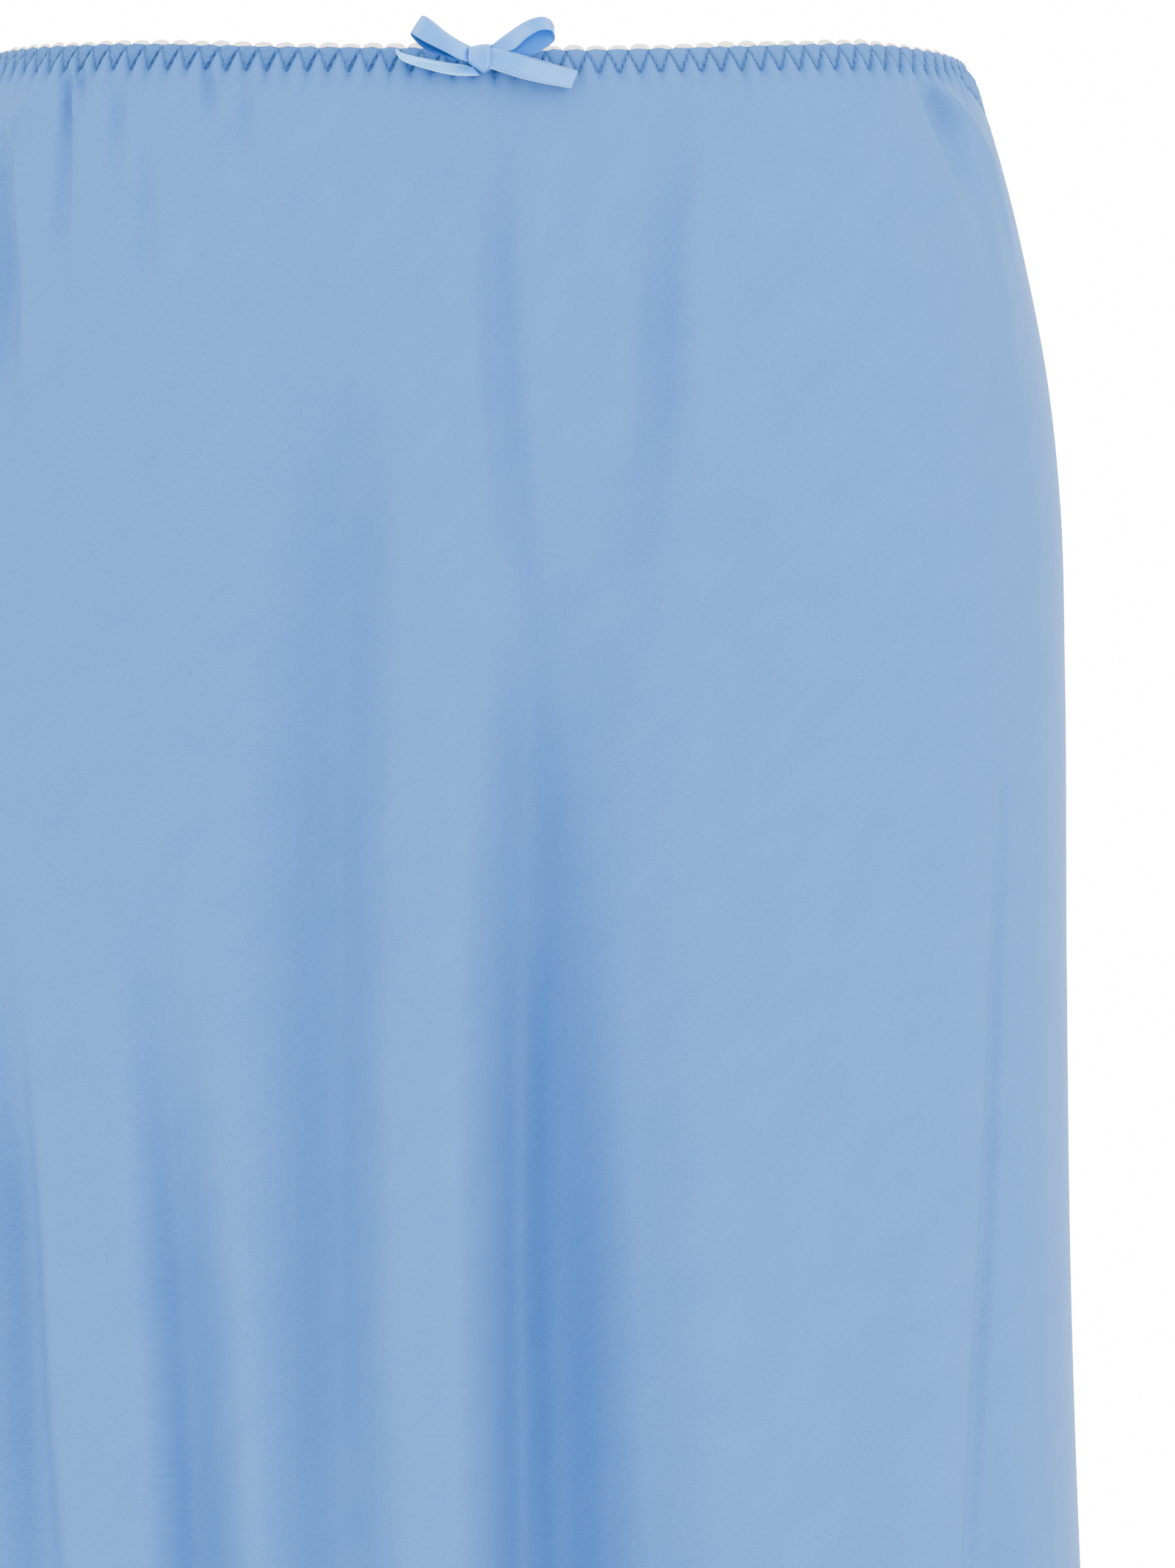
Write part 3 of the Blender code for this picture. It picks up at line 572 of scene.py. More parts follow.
def make_panel(name, middle, grid):
    """Thin sheet from side seam to side seam, on the outer face of its solid."""
    rows = []
    places = []
    for drop, steps in panel_rows(grid):
        count = PUCKERS_PER_PANEL * steps
        half_width = float(section_sizes(drop)[0])
        turns = even_turns(count, middle - QUARTER, middle + QUARTER)[0]
        turns = middle + (turns - middle) * (1 - SEAM_GAP / 2 / half_width / QUARTER)
        phase = np.arange(count + 1) / steps
        drops = np.full(count + 1, drop)
        from_seam = (QUARTER - np.abs(turns - middle)) * half_width
        dip = SEAM_DIP * np.exp(-(from_seam / SEAM_DIP_WIDTH) ** 2)
        height = waist_relief(phase, drops, turns) + hem_relief(drops) - dip
        rows.append(np.stack((turns, drops - edge_wave(phase, drops), height)))
        places.append(np.stack((phase, drops / MM, np.ones(count + 1)), axis=1))
    points = cloth_offset(*np.concatenate(rows, axis=1))
    ends = np.cumsum([len(row[0]) for row in rows])
    panel = join_rows(name, np.split(points, ends[:-1]), thickness=CLOTH_THICKNESS, offset=-1.0)
    sewn = panel.data.attributes.new("waist place", "FLOAT_VECTOR", "POINT")
    sewn.data.foreach_set("vector", np.concatenate(places).ravel())
    return panel


front = make_panel("front_cloth", 0.0, FRONT_GRID)
back = make_panel("back_cloth", math.pi, BACK_GRID)

# %% [markdown]
# The picot elastic
#
# The elastic is a narrow knitted band with a row of little loops, called picots, along its
# upper edge. It lies inside the turned edge of the satin, and only the picots show above.
# Scallops drawn on a strip would end in a straight line against the white behind, so each
# picot is a real rounded lobe, and the band carries on behind the cloth.

# %% Sizes of the elastic
ELASTIC_DROP = 10.0 * MM
ELASTIC_THICKNESS = 0.9 * MM
PICOT_COUNT = 124
PICOT_HEIGHT = 1.9 * MM
PICOT_NOTCH = 0.15 * MM
PICOT_STEPS = 12


def picot_rise(phase, number):
    """Height of the elastic's upper edge over the waist edge, along one rounded lobe."""
    across = 2 * phase - 1
    height = PICOT_HEIGHT * (0.85 + 0.3 * uneven(number, 3))
    return PICOT_NOTCH + (height - PICOT_NOTCH) * np.sqrt(np.clip(1 - across ** 2, 0.0, 1.0))


def make_elastic():
    """Ring of elastic: up the inner face, over the picots and down the outer face."""
    count = PICOT_COUNT * PICOT_STEPS
    turns = even_turns(count, -math.pi, math.pi)[0]
    phase = np.mod(np.arange(count + 1) / PICOT_STEPS, 1.0)
    number = np.mod(np.arange(count + 1) // PICOT_STEPS, PICOT_COUNT)
    tops = picot_rise(phase, number)
    outer = -CLOTH_THICKNESS - DEEPEST_RELIEF - 0.1 * MM
    inner = outer - ELASTIC_THICKNESS
    middle = (outer + inner) / 2
    levels = ((-0.01, middle), (0.0, inner), (0.35, inner), (0.7, inner), (0.88, inner),
              (0.97, inner + 0.12 * MM), (1.0, middle), (0.97, outer - 0.12 * MM),
              (0.88, outer), (0.7, outer), (0.35, outer), (0.0, outer))
    rows = []
    for share, out in levels:
        drops = ELASTIC_DROP * (1 - share) - tops * share
        rows.append(cloth_offset(turns, drops, out)[:-1])
    return join_rows("picot_elastic", rows, ring=True, closed=True)


elastic = make_elastic()

# %% [markdown]
# The stitches
#
# Sewing thread is thinner than a millimetre, but it gives a waist, a seam and a hem their
# look. Each line of stitches is one tube along a path that rises between two needle holes and
# dips into the cloth at each hole. That is lighter than a mesh for every stitch.

# %% A thread along a path
THREAD_RADIUS = 0.17 * MM
THREAD_DIP = 0.4 * MM
THREAD_SIDES = 5
STITCH_POINTS = 4


def make_thread(name, turns, drops, heights):
    """Tube of thread over the cloth. It stops one point short of the side seams."""
    path = cloth_offset(turns, drops, heights)[1:-1]
    facing = cloth_normal(turns, drops)[1:-1]
    along = unit_length(np.gradient(path, axis=0))
    across = unit_length(np.cross(along, facing))
    out = np.cross(across, along)
    rows = []
    for side in range(THREAD_SIDES):
        angle = 2 * math.pi * side / THREAD_SIDES
        rows.append(path + THREAD_RADIUS * (math.cos(angle) * across + math.sin(angle) * out))
    return join_rows(name, rows, ring=True, capped=True)


def stitch_heights(count):
    """Height of the thread over the cloth at each point, with a needle hole at each stitch."""
    share = np.mod(np.arange(count + 1) / STITCH_POINTS, 1.0)
    return THREAD_DIP * (np.sin(math.pi * share) ** 0.6 - 0.75)


print("points per stitch:", STITCH_POINTS)

# %% The zigzag at the waist


def make_zigzag(name, middle):
    """Three-step zigzag: each stroke is three small stitches."""
    per_stroke = ZIGZAG_STITCHES * STITCH_POINTS
    count = PUCKERS_PER_PANEL * 2 * per_stroke
    turns = even_turns(count, middle - QUARTER, middle + QUARTER)[0]
    phase = np.arange(count + 1) / (2 * per_stroke)
    drops = zigzag_drop(phase)
    heights = waist_relief(phase, drops, turns) + stitch_heights(count)
    return make_thread(name, turns, drops, heights)


zigzag_front = make_zigzag("zigzag_front", 0.0)
zigzag_back = make_zigzag("zigzag_back", math.pi)

# %% [markdown]
# Side seams and hem
#
# A side seam shows outside only as a fine line where two edges dip together. Inside, its
# allowances are pressed open: a narrow strip behind the line, which also closes the seam. The
# turned-up hem is caught by one row of stitches that shows outside as small dashes.

# %% Seam allowances
ALLOWANCE_WIDTH = 9.0 * MM
ALLOWANCE_ROWS = 110
ALLOWANCE_ACROSS = 9
ALLOWANCE_THICKNESS = 0.4 * MM


def make_allowance(name, side_turn):
    """Pressed-open seam allowances inside a side seam, as one strip."""
    drops = np.linspace(ELASTIC_DROP + 1.5 * MM, SKIRT_LENGTH - 2 * MM, ALLOWANCE_ROWS)
    rows = []
    for place in np.linspace(-1.0, 1.0, ALLOWANCE_ACROSS):
        offset = place * ALLOWANCE_WIDTH / section_sizes(drops)[0]
        lift = 0.1 * MM * (1 - place ** 2)
        out = -CLOTH_THICKNESS - 0.25 * MM - SEAM_DIP - lift
        rows.append(cloth_offset(side_turn + offset, drops, out))
    return join_rows(name, rows, thickness=ALLOWANCE_THICKNESS)


seam_right = make_allowance("seam_allowance_right", QUARTER)
seam_left = make_allowance("seam_allowance_left", -QUARTER)

# %% The hem's stitches
HEM_STITCH_LENGTH = 2.6 * MM


def make_hem_thread(name, middle):
    fine = np.linspace(middle - QUARTER, middle + QUARTER, FINE_TURNS)
    lengths = lengths_along(cloth_surface(fine, HEM_STITCH_DROP))
    stitches = int(lengths[-1] / HEM_STITCH_LENGTH)
    count = stitches * STITCH_POINTS
    turns = np.interp(np.linspace(0.0, lengths[-1], count + 1), lengths, fine)
    heights = HEM_EXTRA - HEM_GROOVE + 0.05 * MM + stitch_heights(count) * 1.3
    print(name, "stitches:", stitches, "hem length:", round(float(lengths[-1]), 3), "m")
    return make_thread(name, turns, HEM_STITCH_DROP, heights)


hem_thread_front = make_hem_thread("hem_thread_front", 0.0)
hem_thread_back = make_hem_thread("hem_thread_back", math.pi)

# %% [markdown]
# The ribbon bow
#
# The bow is tied from 6 mm double-faced satin ribbon and stitched on at the front centre. It
# could be simulated as a strip that is pulled tight, but its few curves are quicker and truer
# given one by one. Each loop or tail is swept through stations that give both edges of the
# ribbon, and the tiny loops of its woven edges are beads set along them. On the right loop and
# the tails they are lighter than the ribbon: painted highlights.

# %% Stations along the ribbon's two edges, in centimetres
BOW_X = 1.1 * MM
BOW_PARTS = tables("upper_x upper_z upper_out lower_x lower_z lower_out", {
    "bow_loop_left": (
        (-0.2, 0, 0.4, -0.2, -0.46, 0.4), (-0.5, 0.14, 0.5, -0.52, -0.38, 0.52),
        (-0.87, 0.38, 0.58, -0.9, -0.18, 0.61), (-1.28, 0.71, 0.62, -1.46, 0.1, 0.67),
        (-1.46, 0.83, 0.57, -1.76, 0.28, 0.62), (-1.56, 0.84, 0.47, -1.87, 0.36, 0.5),
        (-1.55, 0.76, 0.36, -1.83, 0.24, 0.37), (-1.22, 0.52, 0.3, -1.5, -0.07, 0.29),
        (-0.8, 0.26, 0.28, -0.95, -0.29, 0.28), (-0.2, 0, 0.28, -0.22, -0.47, 0.28)),
    "bow_loop_right": (
        (0.36, 0, 0.32, 0.36, -0.3, 0.32), (0.9, 0.4, 0.37, 0.98, -0.12, 0.4),
        (1.39, 0.7, 0.55, 1.41, 0.23, 0.64), (1.8, 0.82, 0.54, 1.76, 0.43, 0.68),
        (2.05, 0.75, 0.48, 2.08, 0.44, 0.62), (2.17, 0.56, 0.38, 2.19, 0.3, 0.5),
        (2.13, 0.52, 0.28, 2.15, 0.12, 0.36), (1.84, 0.56, 0.21, 1.86, -0.08, 0.25),
        (1.42, 0.42, 0.19, 1.46, -0.26, 0.19), (0.9, 0.14, 0.19, 0.94, -0.24, 0.19),
        (0.36, 0, 0.19, 0.36, -0.28, 0.19)),
    "bow_tail_left": (
        (-0.1, -0.6, 0.15, 0.06, -0.82, 0.17), (-0.48, -0.52, 0.13, -0.4, -0.84, 0.28),
        (-0.87, -0.46, 0.12, -0.87, -0.79, 0.38), (-1.6, -0.32, 0.12, -1.53, -0.62, 0.42),
        (-2.1, -0.2, 0.14, -2.1, -0.41, 0.36), (-2.3, -0.08, 0.19, -2.31, -0.14, 0.25)),
    "bow_tail_right": (
        (0.34, -0.05, 0.48, 0.33, -0.63, 0.5), (0.8, -0.15, 0.47, 0.72, -0.76, 0.56),
        (1.39, -0.3, 0.42, 1.25, -0.93, 0.58), (2.1, -0.5, 0.3, 1.93, -1.08, 0.48),
        (2.86, -0.71, 0.18, 2.67, -1.19, 0.32)),
})
RIBBON_THICKNESS = 0.35 * MM
RIBBON_CUP = 0.12 * MM
RIBBON_ALONG = 8
RIBBON_ACROSS = 8
BEAD_PITCH = 0.77 * MM
TAIL_BEAD_RADIUS = 0.2 * MM
LOOP_BEAD_RADIUS = 0.16 * MM

# %% Sweeping the ribbon


def cloth_front(x, z):
    """Y of the front's outer face before its folds, at an X and a Z."""
    half_width, front_depth, _ = section_sizes(max(-z, 0.0))
    return float(-front_depth * depth_share(x, half_width))


def bow_point(x, z, out):
    """Point of the bow from centimetres: X, Z and its distance in front of the cloth."""
    x = BOW_X + x * CM
    z = z * CM
    return np.array((x, cloth_front(x, z) - out * CM, z))


def ribbon_edges(stations):
    """Smooth upper and lower edges of a ribbon, through its stations."""
    places = np.arange(len(stations))
    fine = np.linspace(0, len(stations) - 1, (len(stations) - 1) * RIBBON_ALONG + 1)
    edges = []
    for edge in (slice(0, 3), slice(3, 6)):
        points = np.array([bow_point(*station[edge]) for station in stations])
        edges.append(np.stack([read_curve(fine, places, axis) for axis in points.T], axis=1))
    return edges


def make_ribbon(name, stations):
    """Ribbon from edge to edge, a little cupped, with a Solidify modifier."""
    upper, lower = ribbon_edges(stations)
    along = np.gradient((upper + lower) / 2, axis=0)
    face = unit_length(np.cross(upper - lower, along))
    rows = []
    for share in np.linspace(0.0, 1.0, RIBBON_ACROSS + 1):
        cup = RIBBON_CUP * (1 - (2 * share - 1) ** 2)
        rows.append(upper + (lower - upper) * share + face * cup)
    ribbon = join_rows(name, rows, thickness=RIBBON_THICKNESS)
    ribbon.modifiers["thickness"].material_offset = 1
    return ribbon


def bead_places(edge):
    """Points a bead pitch apart along an edge."""
    lengths = lengths_along(edge)
    places = np.arange(BEAD_PITCH / 2, lengths[-1], BEAD_PITCH)
    return np.stack([np.interp(places, lengths, axis) for axis in edge.T], axis=1)


def make_beads(name, places, radius, rings=4, sides=8):
    """One mesh of small eight-sided beads, one at each place."""
    tilts = np.repeat(np.arange(1, rings), sides) * math.pi / rings
    angles = np.tile(np.arange(sides), rings - 1) * 2 * math.pi / sides
    ball = np.stack((np.sin(tilts) * np.cos(angles), np.sin(tilts) * np.sin(angles),
                     np.cos(tilts)), axis=1)
    ball = np.concatenate((ball, [(0.0, 0.0, 1.0), (0.0, 0.0, -1.0)]))
    top = len(ball) - 2
    faces = []
    for side in range(sides):
        after = (side + 1) % sides
        faces += [(top, side, after), (top + 1, top - sides + after, top - sides + side)]
        for base in range(0, top - sides, sides):
            below = base + sides
            faces.append((base + side, below + side, below + after, base + after))
    points = (places[:, None] + radius * ball).reshape(-1, 3)
    firsts = range(0, len(points), len(ball))
    all_faces = [tuple(first + point for point in face) for first in firsts for face in faces]
    print(name, "beads:", len(places))
    return make_mesh(name, points, all_faces)


ribbons = {node: make_ribbon(node + "_ribbon", rows) for node, rows in BOW_PARTS.items()}
edges = {}
for node, rows in BOW_PARTS.items():
    upper, lower = ribbon_edges(rows)
    places = np.concatenate((bead_places(upper), bead_places(lower)))
    radius = TAIL_BEAD_RADIUS if "tail" in node else LOOP_BEAD_RADIUS
    edges[node] = make_beads(node + "_edges", places, radius)

# %% The knot
KNOT_LEFT = -0.24
KNOT_RIGHT = 0.385
KNOT_STEPS = 25
KNOT_PROFILE = table(
    "share out",
    (-0.06, 0.12), (-0.09, 0.25), (-0.06, 0.42), (0.04, 0.53), (0.3, 0.585), (0.55, 0.59),
    (0.8, 0.57), (0.97, 0.5), (1.05, 0.38), (1.05, 0.22), (0.98, 0.12),
)


def knot_edge(x):
    """Upper and lower edge of the knot, in centimetres, at one X."""
    share = (x - KNOT_LEFT) / (KNOT_RIGHT - KNOT_LEFT)
    upper = -0.05 + 0.06 * math.sin(math.pi * min(max(share, 0.0), 1.0) * 0.6)
    lower = -0.47 - 0.28 * min(share, 0.68) / 0.68 + 0.10 * max(share - 0.68, 0.0) / 0.32
    return upper, lower


def make_knot(name):
    """Ribbon wrapped over the middle of the bow: a band that bends round above and below."""
    rows = []
    for profile in KNOT_PROFILE:
        row = []
        for x in np.linspace(KNOT_LEFT, KNOT_RIGHT, KNOT_STEPS):
            upper, lower = knot_edge(x)
            z = upper + (lower - upper) * profile.share
            share = (x - KNOT_LEFT) / (KNOT_RIGHT - KNOT_LEFT)
            pleat = 0.022 * math.cos(share * math.pi * 9) * max(0.0, 1 - share * 1.8)
            crease = -0.04 * math.exp(-((share - 0.93) / 0.03) ** 2)
            row.append(bow_point(x, z, profile.out + pleat + crease))
        rows.append(np.array(row))
    return join_rows(name, rows, ring=True, capped=True)


knot = make_knot("bow_knot_wrap")

# %% [markdown]
# Writing shader sums as Python
#
# A material is a net of nodes, hard to read when it is written out link by link. So a small
# class wraps a node's output. Adding or multiplying two of them adds a Math node, and one
# method makes any other node from its type, its settings and its sockets' values.

# %% The wrapper


class Value:
    """Output of a node. Sums of these add Math nodes to the same material."""

    def __init__(self, tree, socket=None):
        self.tree = tree
        self.socket = socket

    def node(self, kind, output=0, settings=None, **sockets):
        """Output of a new node. A socket's name may be given as an index, as in s0=value."""
        made = self.tree.nodes.new(kind)
        for name, setting in (settings or {}).items():
            setattr(made, name, setting)
        for name, value in sockets.items():
            key = int(name[1:]) if name[1:].isdigit() else name.replace("_", " ")
            self.connect(made.inputs[key], value)
        return Value(self.tree, made.outputs[output])

    def connect(self, socket, value):
        if isinstance(value, Value):
            self.tree.links.new(value.socket, socket)
        elif socket.type == "RGBA":
            socket.default_value = (*value, 1.0)
        else:
            socket.default_value = value

    def math(self, operation, first, second=0.0):
        return self.node("ShaderNodeMath", 0, {"operation": operation}, s0=first, s1=second)

    def __add__(self, other):
        return self.math("ADD", self, other)

    __radd__ = __add__

    def __sub__(self, other):
        return self.math("SUBTRACT", self, other)

    def __rsub__(self, other):
        return self.math("SUBTRACT", other, self)

    def __mul__(self, other):
        return self.math("MULTIPLY", self, other)

    __rmul__ = __mul__

    def axes(self):
        """The three parts of a vector."""
        parts = self.node("ShaderNodeSeparateXYZ", Vector=self).socket.node.outputs
        return [Value(self.tree, part) for part in parts]

    def clamp(self):
        return self.math("MINIMUM", self.math("MAXIMUM", self, 0.0), 1.0)

    def blend(self, first, second):
        """Colour between two colours, with this value as the factor."""
        return self.node("ShaderNodeMix", 2, {"data_type": "RGBA"}, s0=self, s6=first, s7=second)

    def place(self):
        """Place on the piece, along the object's own axes."""
        return self.node("ShaderNodeTexCoord", output=3)

    def noise(self, scale, detail=2.0, **more):
        """Noise with this value as its vector."""
        return self.node("ShaderNodeTexNoise", Vector=self, Scale=scale, Detail=detail, **more)

    def bump(self, strength, distance):
        return self.node("ShaderNodeBump", Height=self, Strength=strength, Distance=distance)

    def paint(self, **sockets):
        """Feed values to the sockets of the material's Principled shader."""
        inputs = self.tree.nodes["Principled BSDF"].inputs
        for name, value in sockets.items():
            self.connect(inputs[name.replace("_", " ")], value)


def new_material(name, **constants):
    """Material with one Principled shader and its constants, and a Value to start from."""
    material = bpy.data.materials.new(name)
    material.use_nodes = True
    start = Value(material.node_tree)
    start.paint(**constants)
    return material, start


print("shader wrapper ready")

# %% [markdown]
# The satin
#
# Satin shines because its face is nearly all long floating threads. On the bias they run at
# 45 degrees, so the grain shows as faint slanting streaks. An image could give them, but
# noise that is stretched along the threads has no seams and no limit of size. The same noise
# changes the roughness a little and lifts the surface by a hair.

# %% Places on the cloth for the shaders
USUAL_RADIUS = 0.15


def cloth_places(start):
    """Place, length round the skirt and height, in metres."""
    place = start.place()
    x, y, z = place.axes()
    return place, x.math("ARCTAN2", x, y * -1.0) * USUAL_RADIUS, z


def slanted_noise(along, across, fine, coarse, detail=2.0):
    """Noise with threads along one diagonal of the cloth."""
    vector = along.node("ShaderNodeCombineXYZ", s0=across * fine, s1=along * coarse)
    return vector.noise(1.0, detail, settings={"noise_dimensions": "2D"}, Roughness=0.6)


# %% The painted shade round the zigzag, in millimetres
BLOT_PITCH = 5.75
STROKE_WIDTH = 0.62
HOLE_WIDTH = 0.4
FLANK_SHADOW_WIDTH = 0.5
SHADE_BELOW = 5.0


def bell(value, width):
    """1 where a value is 0, fading out over a width."""
    share = value * (1 / width)
    return value.math("EXPONENT", share * share * -1.0)


def painted_stitch_shade(start, side):
    """Painted shade round the zigzag, from 0 to 1."""
    place = start.node("ShaderNodeAttribute", 1, {"attribute_name": "waist place"})
    phase, drop, sewn = place.axes()
    top, foot = ZIGZAG_TOP / MM, ZIGZAG_FOOT / MM
    swing = phase.math("FRACT", phase) * 2 - 1
    near_foot = swing.math("ABSOLUTE", swing)
    below = (drop - near_foot * (foot - top) - top) * STITCH_LEAN
    slack = (0.5 - side * 12).clamp()
    rising = swing.math("LESS_THAN", swing, 0.0)
    vector = start.node("ShaderNodeCombineXYZ", s0=phase * BLOT_PITCH, s1=drop)
    blot = (vector.noise(1.1) * 3 - 0.9).clamp()
    step = near_foot * ZIGZAG_STITCHES + 0.5
    # Painted shade in each stroke's groove and needle hole, where the thread also draws the cloth
    # in.
    hole = bell(step.math("FRACT", step) - 0.5, 0.2) * bell(below, HOLE_WIDTH)
    firm = 1 - slack * (1 - rising) * 0.25
    stroke = bell(below, STROKE_WIDTH) * (blot * 0.3 + 0.3) * firm
    # Painted shadow beside each tooth's flank, on the left half seen from the front.
    fold = bell(below + 0.15, FLANK_SHADOW_WIDTH) * rising * slack * (near_foot * 3 - 0.4).clamp()
    in_band = (foot - drop + 0.5).clamp()
    # Painted shade inside the V's.
    inside = (below * -1.1).clamp() * in_band * (slack * 0.16 + 0.10) * (blot * 0.9 + 0.3)
    # Painted shade under the band, deeper below the zigzag's feet.
    gather = phase.math("COSINE", phase * (2 * math.pi)) * 0.5 + 0.6
    under = bell(drop - foot, SHADE_BELOW) * gather * (blot * 0.3 + 0.8) * (slack * 0.08 + 0.08)
    return ((stroke + hole * firm * 0.45 + fold * 0.75 + inside) * in_band + under) * sewn


# %% The satin's material
SATIN_LIGHT = (0.076, 0.206, 0.486)
SATIN_DEEP = (0.033, 0.138, 0.410)
# Dark colour of the painted shade round the zigzag.
SATIN_PAINTED_SHADE = (0.010, 0.040, 0.145)


def make_satin(name):
    material, start = new_material(name, Specular_IOR_Level=0.05)
    place, around, height = cloth_places(start)
    along = around + height
    across = around - height
    threads = slanted_noise(along, across, 1500.0, 650.0)
    streaks = slanted_noise(along, across, 380.0, 22.0, detail=3.0)
    mottle = slanted_noise(along, across, 55.0, 30.0, detail=3.0)
    tone = (threads * 0.7 + streaks * 0.14 + mottle * 0.3 - 0.07).clamp()
    # Round the zigzag the colour is darkened by painted shade.
    stitched = painted_stitch_shade(start, place.axes()[0]).clamp()
    start.paint(Base_Color=stitched.blend(tone.blend(SATIN_DEEP, SATIN_LIGHT), SATIN_PAINTED_SHADE),
                Roughness=0.42 + threads * 0.12 + streaks * 0.06,
                Normal=(threads + streaks * 1.5).bump(0.6, 0.00015))
    return material


satin = make_satin("satin")
for piece in (front, back, seam_left, seam_right):
    piece.data.materials.append(satin)
print("satin nodes:", len(satin.node_tree.nodes))

# %% [markdown]
# Ribbon, thread and elastic
#
# The ribbon is a tighter, brighter satin, the thread is plain and darker, and the elastic is
# off-white, knitted in fine ribs, and lets a little light through. Images of their weaves
# would not show at this size, so a little noise or a row of bands does for each.

# %% Their materials


def make_ribbon_satin(name, deep, light, shine=0.7):
    material, start = new_material(name, Specular_IOR_Level=shine, Metallic=0.3)
    weave = start.place().noise(2600.0)
    cloud = start.place().noise(260.0)
    tone = (weave * 0.5 + cloud * 0.5).clamp()
    start.paint(Base_Color=tone.blend(deep, light), Roughness=0.26 + weave * 0.12,
                Normal=weave.bump(0.3, 0.00004))
    return material


def make_edge_thread(name, deep, light):
    material, start = new_material(name, Roughness=0.45, Specular_IOR_Level=0.6)
    start.paint(Base_Color=start.place().noise(3000.0, 1.0).blend(deep, light))
    return material


def make_sewing_thread(name):
    material, start = new_material(name, Specular_IOR_Level=0.2)
    twist = start.place().noise(2200.0, 1.0)
    colour = twist.blend((0.020, 0.085, 0.250), (0.034, 0.125, 0.345))
    start.paint(Base_Color=colour, Roughness=0.5 + twist * 0.2)
    return material


def make_elastic_knit(name):
    material, start = new_material(
        name, Specular_IOR_Level=0.3, Sheen_Weight=0.2, Sheen_Roughness=0.5, Alpha=0.75)
    _, around, height = cloth_places(start)
    bands = {"wave_type": "BANDS", "bands_direction": "X"}
    vector = start.node("ShaderNodeCombineXYZ", s0=around, s1=height)
    ribs = vector.node("ShaderNodeTexWave", 1, bands, Vector=vector, Scale=210.0,
                       Distortion=0.6, Detail=1.0)
    colour = ribs.clamp().blend((0.70, 0.70, 0.66), (0.80, 0.80, 0.76))
    start.paint(Base_Color=colour, Roughness=0.7 + ribs * 0.15, Normal=ribs.bump(0.4, 0.0001))
    return material


ribbon_satin = make_ribbon_satin("ribbon_satin", (0.03, 0.21, 0.64), (0.06, 0.29, 0.78))
# A lighter copy of the ribbon for the left tail: painted light.
ribbon_painted_light = make_ribbon_satin("ribbon_painted_light", (0.08, 0.42, 0.98), (0.12, 0.50, 1.0))
# Darker copies for the insides of the loops and the right tail's back: painted shade, with less
# shine.
ribbon_back_painted_shade = make_ribbon_satin("ribbon_back_painted_shade", (0.004, 0.12, 0.52), (0.010, 0.17, 0.62), 0.25)
ribbon_shaded = make_ribbon_satin(
    "ribbon_shaded", (0.003, 0.045, 0.22), (0.006, 0.065, 0.28), 0.15)
# The edge beads are lighter than the ribbon: painted highlights, paler on the tails.
tail_edge_highlight = make_edge_thread("tail_edge_highlight", (0.42, 0.72, 0.95), (0.60, 0.85, 0.98))
loop_edge_highlight = make_edge_thread("loop_edge_highlight", (0.10, 0.38, 0.84), (0.16, 0.46, 0.90))
sewing_thread = make_sewing_thread("sewing_thread")
elastic_knit = make_elastic_knit("elastic_knit")
ribbon_faces = {
    "bow_loop_left": (ribbon_shaded, ribbon_satin),
    "bow_loop_right": (ribbon_satin, ribbon_back_painted_shade),
    "bow_tail_left": (ribbon_painted_light, ribbon_painted_light),
    "bow_tail_right": (ribbon_satin, ribbon_back_painted_shade),
}
for node, faces in ribbon_faces.items():
    for face in faces:
        ribbons[node].data.materials.append(face)
knot.data.materials.append(ribbon_satin)
for node, piece in edges.items():
    thread = tail_edge_highlight if "tail" in node else loop_edge_highlight
    piece.data.materials.append(ribbon_satin if node == "bow_loop_left" else thread)
for piece in (zigzag_front, zigzag_back, hem_thread_front, hem_thread_back):
    piece.data.materials.append(sewing_thread)
elastic.data.materials.append(elastic_knit)
print("materials:", len(bpy.data.materials))

# %% [markdown]
# Telling the frame what stands for what
#
# Every piece made here rides on the one body of the skirt, and a piece that stands for a solid
# hides it.

stands_for = [(front, "front_panel"), (back, "back_panel"), (elastic, "waist_elastic"),
              (knot, "bow_knot")]
stands_for += [(ribbon, node) for node, ribbon in ribbons.items()]
loose = [zigzag_front, zigzag_back, hem_thread_front, hem_thread_back, seam_left, seam_right]
loose += list(edges.values())
for piece, node in stands_for:
    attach(piece, "root")
    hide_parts(node)
for piece in loose:
    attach(piece, "root")
print("pieces:", len(stands_for) + len(loose))

# %% [markdown]
# Floor, light and camera
#
# The photograph was taken against white, with wide soft light from both sides and a little
# more from above. The side towards the camera is dimmer, so the bottoms of the folds, which
# face only that way, are darker. Lamps could do this, but a world that is brighter in some
# directions has no grain and no hard edge. The camera stands three metres away, a little below
# the waist, so the waist edge arches as it does in the photograph.

# %% Floor
FLOOR_DROP = 1.05
FLOOR_HALF = 3.0


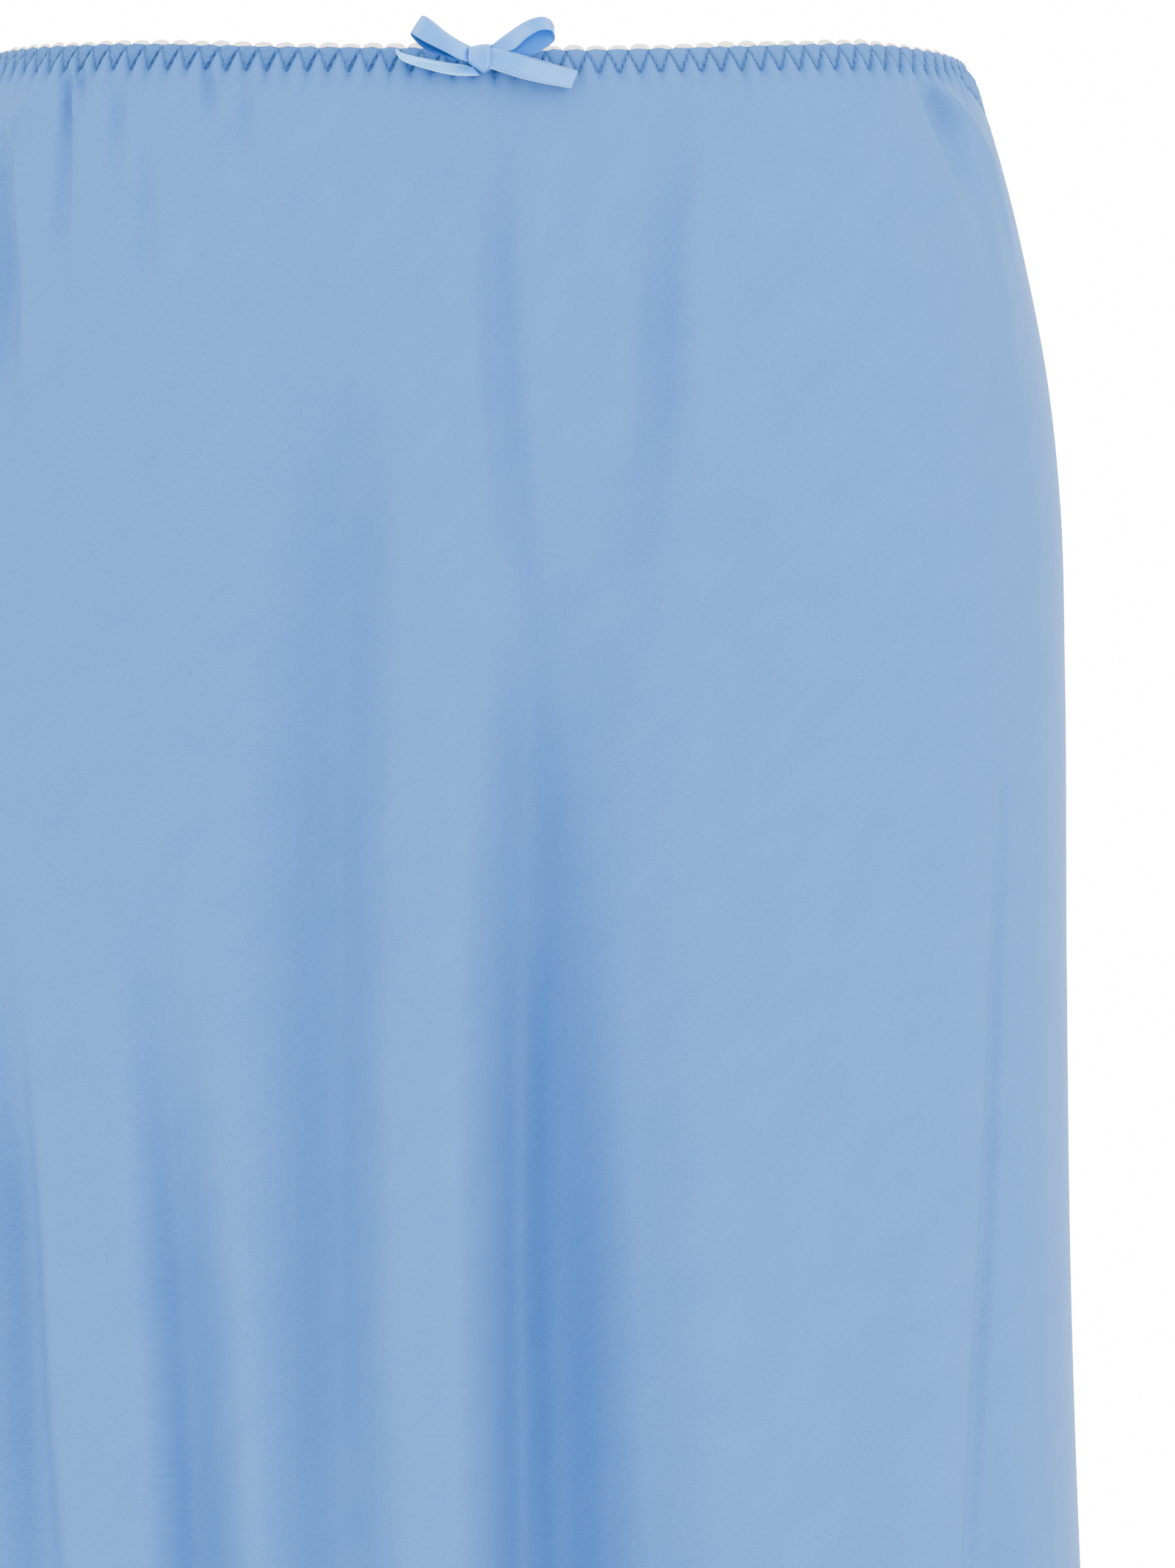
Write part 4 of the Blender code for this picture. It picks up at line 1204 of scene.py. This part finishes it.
def make_floor():
    ways = ((-1, -1), (1, -1), (1, 1), (-1, 1))
    corners = [(x * FLOOR_HALF, y * FLOOR_HALF, -FLOOR_DROP) for x, y in ways]
    material, start = new_material("floor", Roughness=0.9, Specular_IOR_Level=0.2)
    cloud = start.place().noise(3.0)
    start.paint(Base_Color=cloud.blend((0.84, 0.84, 0.85), (0.88, 0.88, 0.88)))
    floor = make_mesh("floor", corners, [(0, 1, 2, 3)])
    floor.data.materials.append(material)
    floor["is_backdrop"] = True
    return floor


floor = make_floor()

# %% Light
LIGHT_LEVEL = 3.32
FRONT_DIM = 0.42
RIGHT_SHARE = 0.08
SIDE_COLOUR = (1.22, 1.0, 0.80)
FRONT_COLOUR = (0.84, 1.0, 1.16)
OVERHEAD_SHARE = 0.05
BACKDROP_LEVEL = 16.0


def make_world():
    """Bright at 60 degrees to each side of the camera and behind, and white where it shows."""
    world = bpy.data.worlds.new("white studio")
    world.use_nodes = True
    bpy.context.scene.world = world
    tree = world.node_tree
    background = tree.nodes["Background"]
    start = Value(tree)
    way = start.node("ShaderNodeTexCoord", output=0)
    x, y, z = way.axes()
    bearing = x.math("ARCTAN2", x, y * -1.0)
    dimmed = 1 - bearing.math("COSINE", bearing * 3.0) * FRONT_DIM
    sideways = bearing.math("SINE", bearing)
    sided = 1 + sideways * RIGHT_SHARE
    level = dimmed * sided * (1 + z * OVERHEAD_SHARE) * LIGHT_LEVEL
    seen = start.node("ShaderNodeLightPath", output=0)
    start.connect(background.inputs["Strength"], seen * (BACKDROP_LEVEL - level) + level)
    tint = (sideways * sideways).blend(FRONT_COLOUR, SIDE_COLOUR)
    start.connect(background.inputs["Color"], seen.blend(tint, (1.0, 1.0, 1.0)))


make_world()
print("light level", LIGHT_LEVEL, "backdrop", BACKDROP_LEVEL)

# %% Camera
CAMERA_PLACE = (0.0323, -3.0, -0.2088)
CAMERA_LENS = 235.0

camera_data = bpy.data.cameras.new("camera")
camera_data.lens = CAMERA_LENS
camera_data.sensor_width = 36.0
camera_data.clip_end = 50.0
camera = bpy.data.objects.new("camera", camera_data)
camera.location = CAMERA_PLACE
camera.rotation_euler = (QUARTER, 0.0, 0.0)
bpy.context.collection.objects.link(camera)
bpy.context.scene.camera = camera
print("camera at", CAMERA_PLACE)

# %% Sizes of the solids and of the scene
boxes = {"cad": cad_box, "visual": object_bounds()}
boxes = {name: [[float(v) for v in corner] for corner in box] for name, box in boxes.items()}
